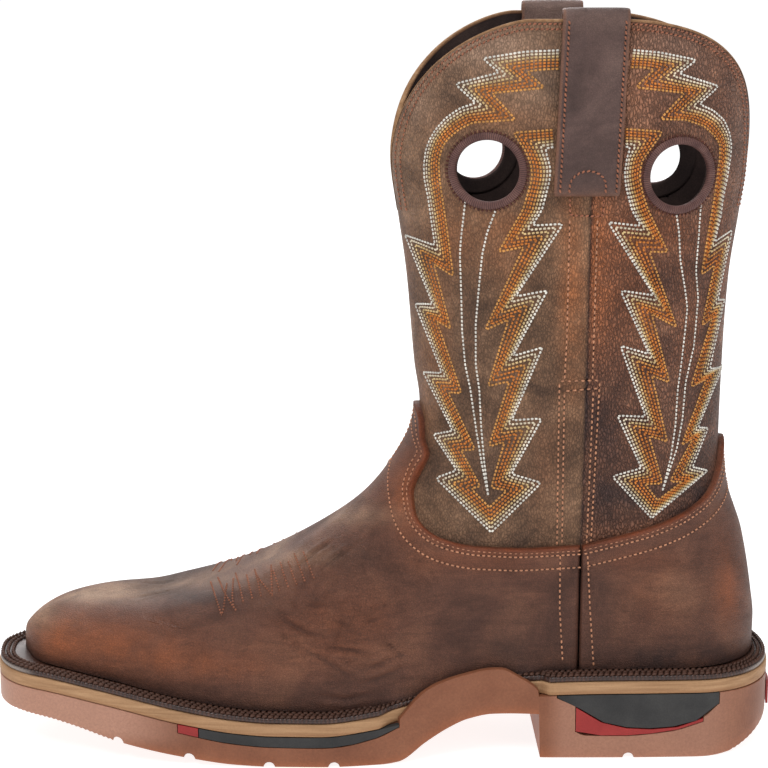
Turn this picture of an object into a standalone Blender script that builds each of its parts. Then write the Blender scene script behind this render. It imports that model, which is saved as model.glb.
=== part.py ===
"""Left western boot: scalloped pull-on shaft, stitched welt, tan midsole and an arched rubber outsole.

X runs from toe (minus) to heel (plus), Y from the lateral side (minus) to the medial side (plus), and Z
rises from the floor. Sizes are in millimetres and become metres when they become mesh points.
"""

import math

import bmesh
import bpy
import numpy as np
from mathutils import Vector

MM = 0.001
GAP = 0.3

# Driving sizes of the boot
TOE_X = -161.0
HEEL_X = 158.7
SEAM_X = 77.0
COLLAR_DIP = 218.0
COLLAR_PEAK = 295.0
VAMP_TIP = 139.3
COUNTER_TIP = 125.0
WALL = 2.2
OVERLAY = 1.6
OVERLAY_LIFT = 0.45
MIDSOLE = 5.0
WELT = 2.2
FEATHER_GAP = 0.6
FEATHER_STAND = 5.0
INSOLE = 3.0
INSOLE_ROOM = 1.4
INSOLE_END = 6.0

# Form of the leg and the collar
TOE_CORNER = 44.5
FOOT_TOP = 60.0
LEG_START = 135.0
LEG_CENTRE = -4.0
COLLAR_FRONT_CLIMB = 0.40
COLLAR_FRONT_SQUARE = 1.5
COLLAR_REAR_CLIMB = 0.43
COLLAR_REAR_SQUARE = 2.0
COLLAR_SOFTNESS = 0.03
OUTLINE_STEPS = 160
OUTLINE_SLACK = 0.05
LINE_STEPS = 600
RING_STEPS = 400
RING_LEVEL = 100.0
EDGE_STEPS = 160

# Rounded ends of the sole: how far they reach and how square they are
TOE_DEPTH = {"lateral": 20.0, "medial": 34.0}
TOE_SQUARE = {"lateral": 3.0, "medial": 2.2}
HEEL_DEPTH = 36.0
HEEL_SQUARE = 2.2

# Pull holes, straps and their trim
HOLE_RADIUS = 13.3
HOLE_REACH = 24.0
BINDING_RADIUS = 1.5
BINDING_SINK = 0.6
STRAP_WIDTH = 25.4
STRAP_THICK = 2.4
STRAP_END = 229.0
STRAP_INNER_END = 252.0
STRAP_LEAN = 2.6
STRAP_OFFSET = {"lateral": 0.6, "medial": -7.4}
STRAP_SEAT = 295.6
STRAP_INNER_GAP = 0.7

# Sole edges, inlays and tread
WELT_SETBACK = 0.7
WELT_TUCK = 4.0
LIP_THICK = 2.6
LIP_PROUD = 0.25
LIP_ROOT = 4.0
TREAD_BEVEL = 1.2
INLAY_DEPTH = 3.0
CUTTER_REACH = 4.0
GROOVE_RADIUS = 2.2
GROOVE_REACH = 140.0
GROOVES_X = (-109.0, -80.0, -48.0, -22.0, 97.0)
FOREFOOT_FLAT = -62.0
HEEL_CURVE = 152.0
CHIP_FRONT = -84.4
INSERT_FRONT = -76.0
WEDGE_FRONT = 75.5
WEDGE_BACK = 127.0
TAB_WIDTH = 22.0
TAB_LOW = 12.0
TAB_HIGH = 22.0
TAB_PROUD = 1.0

# Mesh fineness
FRONT_COLUMNS = 18
BACK_COLUMNS = 10
FOOT_ROWS = 11
ROW_GROWTH = 1.6
SHAFT_ROWS = 7
RING_COLUMNS = 36
BINDING_POINTS = 20
LIP_STEPS = 16
TAB_STEPS = 7
HOLE_SIDES = 28
GROOVE_SIDES = 12
INSOLE_STEPS = 30
STATION_STEP = 9.0
INLAY_STEP = 8.0
SMOOTH_ANGLE = 40.0

SIDES = {"lateral": -1.0, "medial": 1.0}


def smooth(keys, values, at):
    """Cubic curve through values at rising keys that never overshoots, read at the given places."""
    step = np.diff(keys)
    slope = np.diff(values) / step
    tangent = np.zeros(len(keys))
    tangent[0] = slope[0]
    tangent[-1] = slope[-1]
    product = slope[:-1] * slope[1:]
    total = slope[:-1] + slope[1:]
    turning = (product <= 0) | (total == 0)
    tangent[1:-1] = np.where(turning, 0.0, 2 * product / np.where(turning, 1.0, total))
    at = np.clip(at, keys[0], keys[-1])
    index = np.clip(np.searchsorted(keys, at) - 1, 0, len(step) - 1)
    t = (at - keys[index]) / step[index]
    rise = values[index + 1] - values[index]
    start = tangent[index] * step[index]
    end = tangent[index + 1] * step[index]
    return values[index] + t * (start + t * (3 * rise - 2 * start - end + t * (start + end - 2 * rise)))


class Table:
    """Rows of named columns, with the first column as the key."""

    def __init__(self, columns, rows):
        self.columns = columns
        self.rows = np.array(rows, float)

    def column(self, name):
        return self.rows[:, self.columns.index(name)]

    def at(self, name, key):
        return smooth(self.rows[:, 0], self.column(name), np.asarray(key, float))


class Line(Table):
    """A smooth line in the side view. Places along it run from 0 to 1."""

    def __init__(self, columns, rows):
        super().__init__(columns, rows)
        run = np.hypot(np.diff(self.column("x")), np.diff(self.column("z")))
        self.places = np.concatenate([[0.0], np.cumsum(run)]) / run.sum()

    def along(self, name, place):
        return smooth(self.places, self.column(name), np.asarray(place, float))

    def points(self, start, end, shares):
        place = start + (end - start) * shares
        return np.stack([self.along("x", place), self.along("z", place)], axis=-1)

    def place_at_height(self, z):
        place = np.linspace(0, 1, LINE_STEPS)
        return np.interp(z, self.along("z", place), place)

    def at_height(self, z):
        return self.along("x", self.place_at_height(z))


# Sole seen from above: centre line, half-breadths and the shelf left outside the boot's wall
SOLE_PLAN = Table(
    ("x", "centre", "lateral", "medial", "shelf"),
    [
        (TOE_X, -5.0, 24.0, 20.0, 11.0),
        (-140.0, -1.0, 36.4, 31.0, 11.0),
        (-112.0, 1.8, 48.3, 46.2, 10.4),
        (-85.0, 1.5, 53.0, 51.4, 9.8),
        (-62.0, 0.8, 54.4, 53.2, 9.6),
        (-28.0, -1.0, 54.0, 50.0, 9.4),
        (0.0, -2.6, 49.6, 43.4, 7.0),
        (28.0, -4.6, 42.4, 34.6, 6.0),
        (50.0, -5.6, 39.4, 34.2, 6.0),
        (66.0, -6.0, 40.4, 37.4, 9.0),
        (100.0, -6.0, 40.8, 38.6, 9.4),
        (HEEL_X, -6.0, 39.4, 38.0, 9.6),
    ],
)

# Sole seen from the side: tread line and top of the midsole
SOLE_PROFILE = Table(
    ("x", "tread", "midsole"),
    [
        (TOE_X, 17.6, 33.7),
        (-138.0, 15.2, 32.0),
        (-125.0, 12.6, 30.4),
        (-111.0, 8.8, 28.2),
        (-81.0, 3.2, 22.2),
        (-60.0, 0.6, 19.0),
        (-47.0, 0.0, 18.1),
        (-28.0, 0.0, 18.0),
        (-4.0, 0.0, 20.4),
        (4.0, 0.8, 22.1),
        (15.0, 8.1, 24.4),
        (24.0, 13.4, 26.3),
        (32.0, 16.8, 27.9),
        (42.0, 18.4, 29.7),
        (60.6, 18.4, 31.5),
        (61.2, 0.0, 31.6),
        (90.0, 0.0, 32.4),
        (128.0, 0.0, 32.5),
        (139.0, 1.0, 32.5),
        (146.0, 3.4, 32.5),
        (152.0, 6.3, 32.5),
        (156.5, 9.0, 32.5),
        (HEEL_X, 11.5, 32.5),
    ],
)

# Rubber lips that climb the upper at the waist
LIP = Table(
    ("x", "top"),
    [
        (4.0, 19.0),
        (10.0, 26.0),
        (14.0, 29.6),
        (20.0, 32.8),
        (30.0, 35.8),
        (42.0, 37.8),
        (46.0, 37.6),
        (52.0, 34.6),
        (58.0, 31.0),
        (60.2, 29.0),
    ],
)

# Midsole and welt draw in behind the lips
LIP_INSET = Table(("x", "inset"), [(-4.0, 0.0), (3.0, 3.1), (60.6, 3.1), (65.0, 0.0)])

# Front and back of the boot in the side view, with how far the wall takes to reach its full width
FRONT = Line(
    ("x", "z", "round"),
    [
        (-149.2, 34.0, 11.0),
        (-149.2, 42.6, 11.0),
        (-145.6, 47.2, 12.5),
        (-141.0, 50.4, 15.0),
        (-133.7, 53.6, 18.0),
        (-125.1, 55.4, 20.5),
        (-113.7, 56.8, 24.0),
        (-99.2, 58.2, 28.0),
        (-85.7, 61.6, 32.0),
        (-60.5, 69.0, 39.0),
        (-33.2, 81.4, 46.0),
        (-10.2, 96.8, 51.0),
        (2.4, 111.6, 56.0),
        (12.2, 131.0, 60.0),
        (13.4, VAMP_TIP, 62.0),
        (11.2, 156.0, 64.0),
        (8.0, 192.0, 65.0),
        (4.3, 218.0, 66.0),
        (0.3, 245.0, 67.0),
        (0.0, 262.0, 67.0),
        (0.5, 302.0, 67.0),
    ],
)
BACK = Line(
    ("x", "z", "round"),
    [
        (150.6, 33.0, 32.0),
        (150.8, 41.0, 32.0),
        (150.9, 49.0, 32.5),
        (149.6, 60.0, 34.0),
        (145.2, 84.5, 40.0),
        (138.2, 107.0, 47.0),
        (136.4, COUNTER_TIP, 53.0),
        (137.0, 165.0, 61.0),
        (138.2, 191.0, 64.0),
        (141.6, 218.0, 66.0),
        (143.8, 235.0, 67.0),
        (144.8, 262.0, 67.0),
        (145.2, 302.0, 67.0),
    ],
)

# Rings that wrap the boot: how far above the upper's lower edge each one is at the front and at the back
RINGS = Table(
    ("front", "back"),
    [
        (0.0, 0.0),
        (6.4, 7.4),
        (14.3, 14.4),
        (20.1, 21.4),
        (28.9, 30.4),
        (40.8, 40.4),
        (56.4, 53.4),
        (74.2, 67.4),
        (93.8, 83.4),
        (102.8, 92.4),
        (122.8, 118.4),
        (154.8, 154.4),
        (180.8, 182.4),
        (264.8, 266.4),
    ],
)

# Half-width of the leg at each height
LEG = Table(
    ("z", "half"),
    [
        (60.0, 36.0),
        (100.0, 37.8),
        (125.0, 39.5),
        (160.0, 42.5),
        (200.0, 45.5),
        (240.0, 47.0),
        (302.0, 46.0),
    ],
)

# Top edges of the vamp, from its tip to the side seam, and of the counter, from the seam to its tip
VAMP_EDGE = Line(
    ("x", "z"),
    [
        (13.4, VAMP_TIP),
        (15.2, 133.0),
        (15.4, 127.0),
        (17.0, 121.5),
        (13.0, 113.0),
        (10.6, 105.5),
        (11.6, 98.0),
        (21.0, 90.2),
        (36.5, 87.3),
        (56.5, 86.7),
        (SEAM_X, 87.6),
    ],
)
COUNTER_EDGE = Line(
    ("x", "z"),
    [
        (SEAM_X, 87.6),
        (92.4, 91.6),
        (108.0, 96.0),
        (120.0, 100.6),
        (129.0, 106.5),
        (134.0, 116.0),
        (136.4, COUNTER_TIP),
    ],
)

# Inlays in the sole's side: height of the forefoot strip below the midsole, then lower edges in the heel
FOREFOOT_STRIP = Table(
    ("x", "height"),
    [
        (CHIP_FRONT, 3.4),
        (-60.0, 4.0),
        (-20.0, 4.2),
        (-6.0, 3.2),
        (4.0, 0.9),
    ],
)
HEEL_PANEL = Table(
    ("x", "low"),
    [
        (68.0, 25.8),
        (76.0, 22.0),
        (83.0, 17.2),
        (91.0, 14.2),
        (103.0, 12.8),
        (118.0, 13.8),
        (127.0, 17.2),
        (133.5, 22.6),
    ],
)
HEEL_WEDGE = Table(
    ("x", "low"),
    [
        (WEDGE_FRONT, 11.6),
        (79.0, 10.0),
        (94.0, 9.8),
        (114.0, 11.6),
        (WEDGE_BACK, 15.4),
    ],
)

# Pull holes: centre of each in the side view
HOLES = {"front": (37.6, 238.0), "rear": (111.5, 236.0)}

COLOURS = {
    "upper": (94, 68, 48),
    "vamp": (110, 72, 52),
    "counter": (108, 70, 48),
    "strap": (74, 52, 46),
    "binding": (62, 40, 40),
    "insole": (120, 96, 70),
    "welt": (58, 38, 28),
    "midsole": (178, 146, 104),
    "rubber": (170, 112, 74),
    "charcoal": (58, 60, 64),
    "red": (168, 32, 36),
}
FINISHES = {
    "upper": 0.55,
    "vamp": 0.5,
    "counter": 0.5,
    "strap": 0.5,
    "binding": 0.6,
    "insole": 0.8,
    "welt": 0.45,
    "midsole": 0.7,
    "rubber": 0.5,
    "charcoal": 0.6,
    "red": 0.5,
}


# Shape of the boot's wall


def rounded(share, power):
    """Quarter superellipse: 0 at the end of a form and 1 where its rounding is over."""
    inside = 1 - np.clip(share, 0, 1)
    return (1 - inside**power) ** (1 / power)


def fade(share):
    share = np.clip(share, 0, 1)
    return share * share * (3 - 2 * share)


def closing(x, z, line, start=0.0, end=1.0):
    """How much of its full half-width the wall has at a side-view point near a stretch of outline."""
    place = np.linspace(start, end, OUTLINE_STEPS)
    corner = line.points(0.0, 1.0, place)
    reach = line.along("round", place)
    start = corner[:-1]
    leg = np.diff(corner, axis=0)
    point = np.stack([np.ravel(x), np.ravel(z)], axis=-1)[:, None, :]
    share = ((point - start) * leg).sum(-1) / (leg * leg).sum(-1)
    share = np.clip(share, 0, 1)
    nearest = start + share[..., None] * leg
    radius = reach[:-1] + share * np.diff(reach)
    inside = (np.linalg.norm(point - nearest, axis=-1) - OUTLINE_SLACK) / radius
    return rounded(inside.min(axis=1), 2.0).reshape(np.shape(x))


def half_width(x, z, side):
    """Distance from the boot's middle plane to its wall, which stands upright just above the welt."""
    z = np.maximum(z, feather(x) + FEATHER_STAND)
    foot = SOLE_PLAN.at(side, x) - SOLE_PLAN.at("shelf", x)
    leg = LEG.at("half", z)
    full = foot + (leg - foot) * fade((z - FOOT_TOP) / (LEG_START - FOOT_TOP))
    corner = FRONT.place_at_height(TOE_CORNER)
    toe = closing(x, z, FRONT, 0.0, corner)
    instep = closing(x, z, FRONT, corner, 1.0)
    return full * toe * instep * closing(x, z, BACK)


def middle(x, z):
    foot = SOLE_PLAN.at("centre", x)
    return foot + (LEG_CENTRE - foot) * fade((z - FOOT_TOP) / (LEG_START - FOOT_TOP))


def wall(points, side, out=0.0):
    """Points of the wall over side-view points, moved out of the boot by a distance across its side."""
    x = points[..., 0]
    z = points[..., 1]
    y = middle(x, z) + SIDES[side] * (half_width(x, z, side) + out)
    return np.stack([x, y, z], axis=-1)


def feather(x):
    """Height of the upper's lower edge above the floor."""
    return SOLE_PROFILE.at("midsole", x) + GAP + WELT + FEATHER_GAP


def collar_lift(share, climb, power):
    """How much of its height the collar has gained a share of the way from one of its dips."""
    return rounded(np.hypot(share / climb, COLLAR_SOFTNESS) - COLLAR_SOFTNESS, power)


def collar_points(shares):
    """Side-view points of the scalloped collar, from the front dip to the rear dip."""
    front_lift = collar_lift(shares, COLLAR_FRONT_CLIMB, COLLAR_FRONT_SQUARE)
    rear_lift = collar_lift(1 - shares, COLLAR_REAR_CLIMB, COLLAR_REAR_SQUARE)
    z = COLLAR_DIP + (COLLAR_PEAK - COLLAR_DIP) * np.minimum(front_lift, rear_lift)
    front = FRONT.at_height(z)
    back = BACK.at_height(z)
    return np.stack([front + (back - front) * (1 - np.cos(math.pi * shares)) / 2, z], axis=-1)


def ring_ends(place):
    """Side-view points where the ring at a place up the front starts, and where it ends on the back."""
    front = FRONT.points(0.0, 1.0, place)
    rise = RINGS.at("back", front[..., 1] - feather(FRONT.column("x")[0]))
    back_z = feather(BACK.column("x")[0]) + rise
    return front, np.stack([BACK.at_height(back_z), back_z], axis=-1)


def ring(share, place):
    """Side-view points a share of the way back on the rings. Low rings follow the upper's lower edge."""
    front, back = ring_ends(place)
    share = np.broadcast_to(share, np.shape(place))
    straight = front + (back - front) * share[..., None]
    toe = feather(FRONT.column("x")[0])
    level = toe + (feather(BACK.column("x")[0]) - toe) * share
    sag = 1 - fade((front[..., 1] - toe) / (RING_LEVEL - toe))
    x = straight[..., 0]
    return np.stack([x, straight[..., 1] + sag * (feather(x) - level)], axis=-1)


def seam_share(place):
    """How far back on each ring the side seam lies."""
    front, back = ring_ends(place)
    return (SEAM_X - front[..., 0]) / (back[..., 0] - front[..., 0])


def column_share(column, place):
    """Share of the way back for a column: 0 on the front, 1 on the side seam and 2 on the back."""
    seam = seam_share(place)
    forward = seam * (1 - np.cos(np.clip(column, 0, 1) * math.pi / 2))
    rearward = (1 - seam) * np.sin(np.clip(column - 1, 0, 1) * math.pi / 2)
    return forward + rearward


def ring_places(points, columns):
    """Places of the rings where each column of the wall meets a line drawn in the side view."""
    place = np.linspace(FRONT.place_at_height(feather(FRONT.column("x")[0])), 1.0, RING_STEPS)
    front = ring(0.0, place)[:, 0]
    back = ring(1.0, place)[:, 0]
    found_column = []
    found_place = []
    for x, z in points:
        share = (x - front) / (back - front)
        gap = z - ring(share, place)[:, 1]
        here = float(np.interp(0.0, -gap, place))
        seam = float(seam_share(here))
        share = float(np.interp(here, place, share))
        if share < seam:
            column = math.acos(max(1 - share / seam, 0.0)) / (math.pi / 2)
        else:
            column = 1 + math.asin(min((share - seam) / (1 - seam), 1.0)) / (math.pi / 2)
        found_column.append(max(column, 0.0))
        found_place.append(here)
    rising = np.maximum.accumulate(found_column)
    return np.interp(columns, rising, found_place)


def panels():
    """Side-view grids of the vamp, the counter and the two shaft panels, meeting at the side seam."""
    columns = np.concatenate(
        [np.linspace(0, 1, FRONT_COLUMNS + 1), np.linspace(1, 2, BACK_COLUMNS + 1)[1:]]
    )
    dense = np.linspace(0, 1, EDGE_STEPS)
    low = np.full(len(columns), FRONT.place_at_height(feather(FRONT.column("x")[0])))
    edge = np.concatenate([VAMP_EDGE.points(0.0, 1.0, dense), COUNTER_EDGE.points(0.0, 1.0, dense)])
    middle_line = ring_places(edge, columns)
    high = ring_places(collar_points(dense), columns)
    foot_rows = np.linspace(0, 1, FOOT_ROWS + 1)[:, None] ** ROW_GROWTH
    shaft_rows = np.linspace(0, 1, SHAFT_ROWS + 1)[:, None]
    foot_places = low + (middle_line - low) * foot_rows
    shaft_places = middle_line + (high - middle_line) * shaft_rows
    foot = ring(column_share(columns, foot_places), foot_places)
    shaft = ring(column_share(columns, shaft_places), shaft_places)
    return {
        "vamp": foot[:, : FRONT_COLUMNS + 1],
        "counter": foot[:, FRONT_COLUMNS:],
        "front shaft": shaft[:, : FRONT_COLUMNS + 1],
        "rear shaft": shaft[:, FRONT_COLUMNS:],
    }


# Shape of the sole


def sole_half(x, side):
    toe = rounded((x - TOE_X) / TOE_DEPTH[side], TOE_SQUARE[side])
    heel = rounded((HEEL_X - x) / HEEL_DEPTH, HEEL_SQUARE)
    return SOLE_PLAN.at(side, x) * toe * heel


def sole_edge(x, side, inset=0.0):
    half = np.maximum(sole_half(x, side) - inset, GAP)
    return SOLE_PLAN.at("centre", x) + SIDES[side] * half


def stations(toe, heel, extra=()):
    """Places along the boot for sections: close together in the rounded ends, wide apart between."""
    ends = np.array([0.15, 1.2, 3.5, 7.0, 12.0, 18.0, 26.0])
    end = heel - ends[-1] - STATION_STEP / 2
    between = np.arange(toe + ends[-1] + STATION_STEP, end, STATION_STEP)
    return np.unique(np.concatenate([toe + ends, between, heel - ends, np.array(extra, float)]))


# Meshes, materials and objects


def material(name):
    shader = bpy.data.materials.new(name)
    shader.use_nodes = True
    principled = shader.node_tree.nodes["Principled BSDF"]
    linear = [(part / 255) ** 2.2 for part in COLOURS[name]]
    principled.inputs["Base Color"].default_value = (*linear, 1.0)
    principled.inputs["Roughness"].default_value = FINISHES[name]
    principled.inputs["Metallic"].default_value = 0.0
    return shader


def place(name, mesh, finish):
    """Puts a mesh among the boot's pieces with its material."""
    piece = bpy.data.objects.new(name, mesh)
    PIECES.objects.link(piece)
    mesh.materials.append(MATERIALS[finish])
    mesh.shade_smooth()
    mesh.set_sharp_from_angle(angle=math.radians(SMOOTH_ANGLE))
    return piece


def as_cutter(cutter):
    for home in list(cutter.users_collection):
        home.objects.unlink(cutter)
    CUTTERS.objects.link(cutter)
    cutter.hide_render = True
    cutter.display_type = "WIRE"
    return cutter


def sheet(name, grid, closed=False):
    """Open surface over a grid of points, split on shorter diagonals. A closed one joins its sides."""
    rows, columns = grid.shape[:2]
    points = grid.reshape(-1, 3) * MM
    faces = []
    for row in range(rows - 1):
        for column in range(columns if closed else columns - 1):
            following = (column + 1) % columns
            a = row * columns + column
            b = a + columns
            c = (row + 1) * columns + following
            d = row * columns + following
            if np.linalg.norm(points[a] - points[c]) < np.linalg.norm(points[b] - points[d]):
                faces += [(a, b, c), (a, c, d)]
            else:
                faces += [(a, b, d), (b, c, d)]
    mesh = bpy.data.meshes.new(name)
    mesh.from_pydata(points.tolist(), [], faces)
    return mesh


def loft(name, sections, closed=False):
    """Solid through a row of closed sections, capped at both ends unless the row closes on itself."""
    sections = np.array(sections)
    count, corners = sections.shape[:2]
    mesh = bpy.data.meshes.new(name)
    faces = []
    for index in range(count if closed else count - 1):
        here = index * corners
        there = (index + 1) % count * corners
        for corner in range(corners):
            beside = (corner + 1) % corners
            faces.append((here + corner, here + beside, there + beside, there + corner))
    if not closed:
        faces.append(tuple(range(corners)))
        faces.append(tuple(range((count - 1) * corners, count * corners)))
    mesh.from_pydata((sections.reshape(-1, 3) * MM).tolist(), [], faces)
    shape = bmesh.new()
    shape.from_mesh(mesh)
    bmesh.ops.recalc_face_normals(shape, faces=shape.faces)
    shape.to_mesh(mesh)
    shape.free()
    return mesh


def thicken(piece, thickness, outward, lift=0.0):
    """Gives an open surface its wall, inward or outward, after lifting it off what lies under it."""
    if lift:
        lifted = piece.modifiers.new("lift", "DISPLACE")
        lifted.strength = lift * MM
        lifted.mid_level = 0.0
    solid = piece.modifiers.new("wall", "SOLIDIFY")
    solid.thickness = thickness * MM
    solid.offset = 1.0 if outward else -1.0
    solid.use_even_offset = True


def cut(piece, cutter, operation="DIFFERENCE"):
    boolean = piece.modifiers.new(cutter.name, "BOOLEAN")
    boolean.operation = operation
    boolean.solver = "EXACT"
    boolean.object = cutter


def cylinder(name, radius, depth, centre, direction, sides):
    bpy.ops.mesh.primitive_cylinder_add(vertices=sides, radius=radius * MM, depth=depth * MM)
    rod = bpy.context.object
    rod.name = name
    rod.location = Vector(centre) * MM
    rod.rotation_mode = "QUATERNION"
    rod.rotation_quaternion = Vector(direction).to_track_quat("Z", "Y")
    return rod


# Upper, vamp and counter


def around(front, back, side_grids):
    """One loop of columns round the boot, from the front line along the lateral side and back again."""
    lateral = np.concatenate([side_grids["lateral"][front], side_grids["lateral"][back][:, 1:]], axis=1)
    medial = np.concatenate([side_grids["medial"][front], side_grids["medial"][back][:, 1:]], axis=1)
    return np.concatenate([lateral, medial[:, -2:0:-1]], axis=1)


def make_upper(side_grids):
    foot = around("vamp", "counter", side_grids)
    shaft = around("front shaft", "rear shaft", side_grids)
    grid = np.concatenate([foot, shaft[1:]], axis=0)
    upper = place("upper", sheet("upper", grid[:, ::-1], closed=True), "upper")
    thicken(upper, WALL, outward=False)
    for side in SIDES:
        for spot, (x, z) in HOLES.items():
            point, normal = hole_frame(x, z, side)
            radius = HOLE_RADIUS + BINDING_RADIUS + 2 * GAP
            cutter = cylinder(f"pull hole {side} {spot}", radius, HOLE_REACH, point, normal, HOLE_SIDES)
            cut(upper, as_cutter(cutter))
    return upper


def make_overlays(side_grids):
    lateral = side_grids["lateral"]
    medial = side_grids["medial"]
    vamp = np.concatenate([lateral["vamp"][:, ::-1], medial["vamp"][:, 1:]], axis=1)
    counter = np.concatenate([medial["counter"], lateral["counter"][:, -2::-1]], axis=1)
    for name, grid, shift in (("vamp", vamp, -GAP), ("counter", counter, GAP)):
        grid[:, 0, 0] += shift
        grid[:, -1, 0] += shift
        piece = place(name, sheet(name, grid), name)
        thicken(piece, OVERLAY, outward=True, lift=OVERLAY_LIFT)


# Pull holes and straps


def hole_frame(x, z, side):
    """Point of the wall at a pull hole and the wall's outward direction there."""
    nudge = 2.0
    around_hole = np.array([(x, z), (x + nudge, z), (x, z + nudge)])
    point, beside, above = wall(around_hole, side)
    normal = np.cross(beside - point, above - point)
    normal = normal / np.linalg.norm(normal)
    return point, normal * np.sign(normal[1]) * SIDES[side]


def make_binding(side, spot):
    x, z = HOLES[spot]
    point, normal = hole_frame(x, z, side)
    slant = abs(normal[1]) / math.hypot(normal[0], normal[1])
    angle = np.arange(BINDING_POINTS) * 2 * math.pi / BINDING_POINTS
    ring = np.stack([x + HOLE_RADIUS * slant * np.cos(angle), z + HOLE_RADIUS * np.sin(angle)], axis=-1)
    path = wall(ring, side) - normal * BINDING_SINK
    name = f"hole_binding_{side}_{spot}"
    curve = bpy.data.curves.new(name, "CURVE")
    curve.dimensions = "3D"
    curve.bevel_depth = BINDING_RADIUS * MM
    curve.bevel_resolution = 1
    spline = curve.splines.new("POLY")
    spline.points.add(BINDING_POINTS - 1)
    for target, source in zip(spline.points, path):
        target.co = (*(source * MM), 1.0)
    spline.use_cyclic_u = True
    curve.materials.append(MATERIALS["binding"])
    PIECES.objects.link(bpy.data.objects.new(name, curve))


def make_strap(side):
    """Strap that climbs the outside of the shaft, folds over the collar and ends inside."""
    fold = (GAP + WALL + STRAP_INNER_GAP) / 2
    crest = GAP - fold
    turn = np.linspace(0, math.pi, 7)[1:-1]
    outside = [(GAP, z) for z in np.linspace(STRAP_END, STRAP_SEAT, 6)]
    over = [(crest + fold * math.cos(a), STRAP_SEAT + fold * math.sin(a)) for a in turn]
    inside = [(crest - fold, z) for z in np.linspace(STRAP_SEAT, STRAP_INNER_END, 5)]
    across = np.linspace(-STRAP_WIDTH / 2, STRAP_WIDTH / 2, 6)
    rows = []
    for out, z in outside + over + inside:
        lean = STRAP_LEAN * (z - STRAP_SEAT) / (STRAP_SEAT - STRAP_END)
        x = SEAM_X + STRAP_OFFSET[side] + lean + across
        rows.append(wall(np.stack([x, np.full_like(x, z)], axis=-1), side, out))
    grid = np.array(rows)
    if side == "lateral":
        grid = grid[:, ::-1]
    name = f"pull_strap_{side}"
    strap = place(name, sheet(name, grid), "strap")
    thicken(strap, STRAP_THICK, outward=True)


# Insole, welt, midsole and outsole


def make_insole():
    toe = float(FRONT.column("x")[0])
    heel = float(BACK.column("x")[0])
    room = WALL + INSOLE_ROOM
    share = (1 - np.cos(np.linspace(0, math.pi, INSOLE_STEPS))) / 2
    sections = []
    for part in share[1:-1]:
        x = toe + INSOLE_END + (heel - toe - 2 * INSOLE_END) * part
        outline = toe + (heel - toe) * part
        low = float(feather(x))
        corner = []
        for side, sign in SIDES.items():
            half = float(half_width(np.array([outline]), feather(np.array([outline])) + INSOLE, side)[0])
            y = float(SOLE_PLAN.at("centre", outline)) + sign * max(half - room, GAP)
            corner.append(y)
        lateral, medial = corner
        high = low + INSOLE
        sections.append([(x, lateral, low), (x, medial, low), (x, medial, high), (x, lateral, high)])
    place("insole", loft("insole", sections), "insole")


def make_welt():
    """Ring from just inside the sole's edge to under the upper's wall."""
    toe = float(FRONT.column("x")[0])
    heel = float(BACK.column("x")[0])
    share = (1 - np.cos(np.linspace(0, math.pi, RING_COLUMNS + 1))) / 2
    sections = []
    for side, parts in (("lateral", share[:-1]), ("medial", share[:0:-1])):
        for part in parts:
            edge_x = TOE_X + (HEEL_X - TOE_X) * part
            out_x = edge_x + WELT_SETBACK * (1 - 2 * part)
            inset = WELT_SETBACK + float(LIP_INSET.at("inset", edge_x))
            out_y = float(sole_edge(edge_x, side, inset))
            line = np.array([toe + (heel - toe) * part])
            half = max(float(half_width(line, feather(line), side)[0]) - WELT_TUCK, 0.0)
            in_x = float(line[0]) + WELT_TUCK * (1 - 2 * part)
            in_y = float(SOLE_PLAN.at("centre", line)[0]) + SIDES[side] * half
            out_low = float(SOLE_PROFILE.at("midsole", out_x)) + GAP
            in_low = float(SOLE_PROFILE.at("midsole", in_x)) + GAP
            section = [(out_x, out_y, out_low), (out_x, out_y, out_low + WELT)]
            section += [(in_x, in_y, in_low + WELT), (in_x, in_y, in_low)]
            sections.append(section)
    place("welt", loft("welt", sections, closed=True), "welt")


def make_midsole():
    sections = []
    for x in stations(TOE_X, HEEL_X, (-4.0, 0.0, 3.0, 15.0, 42.0, 60.6, 63.0, 65.0)):
        inset = float(LIP_INSET.at("inset", x))
        lateral = float(sole_edge(x, "lateral", inset))
        medial = float(sole_edge(x, "medial", inset))
        high = float(SOLE_PROFILE.at("midsole", x))
        low = high - MIDSOLE
        sections.append([(x, lateral, low), (x, medial, low), (x, medial, high), (x, lateral, high)])
    place("midsole", loft("midsole", sections), "midsole")


def outsole_top(x):
    return SOLE_PROFILE.at("midsole", x) - MIDSOLE - GAP


def lip_root(x):
    return outsole_top(x) - LIP_ROOT


def lip_top(x):
    return LIP.at("top", x)


def side_band(name, places, low, high, depth, proud, side):
    """Solid strip along the sole's edge, from a depth inside it to a little proud of it."""
    sections = []
    for x in places:
        outer = float(sole_edge(x, side, -proud))
        inner = float(sole_edge(x, side, depth))
        bottom = float(low(x))
        top = float(high(x))
        sections.append([(x, outer, bottom), (x, outer, top), (x, inner, top), (x, inner, bottom)])
    return loft(name, sections)


def band_cutter(name, *shape):
    return as_cutter_object(name, side_band(name, *shape))


def as_cutter_object(name, mesh):
    cutter = bpy.data.objects.new(name, mesh)
    return as_cutter(cutter)


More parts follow.
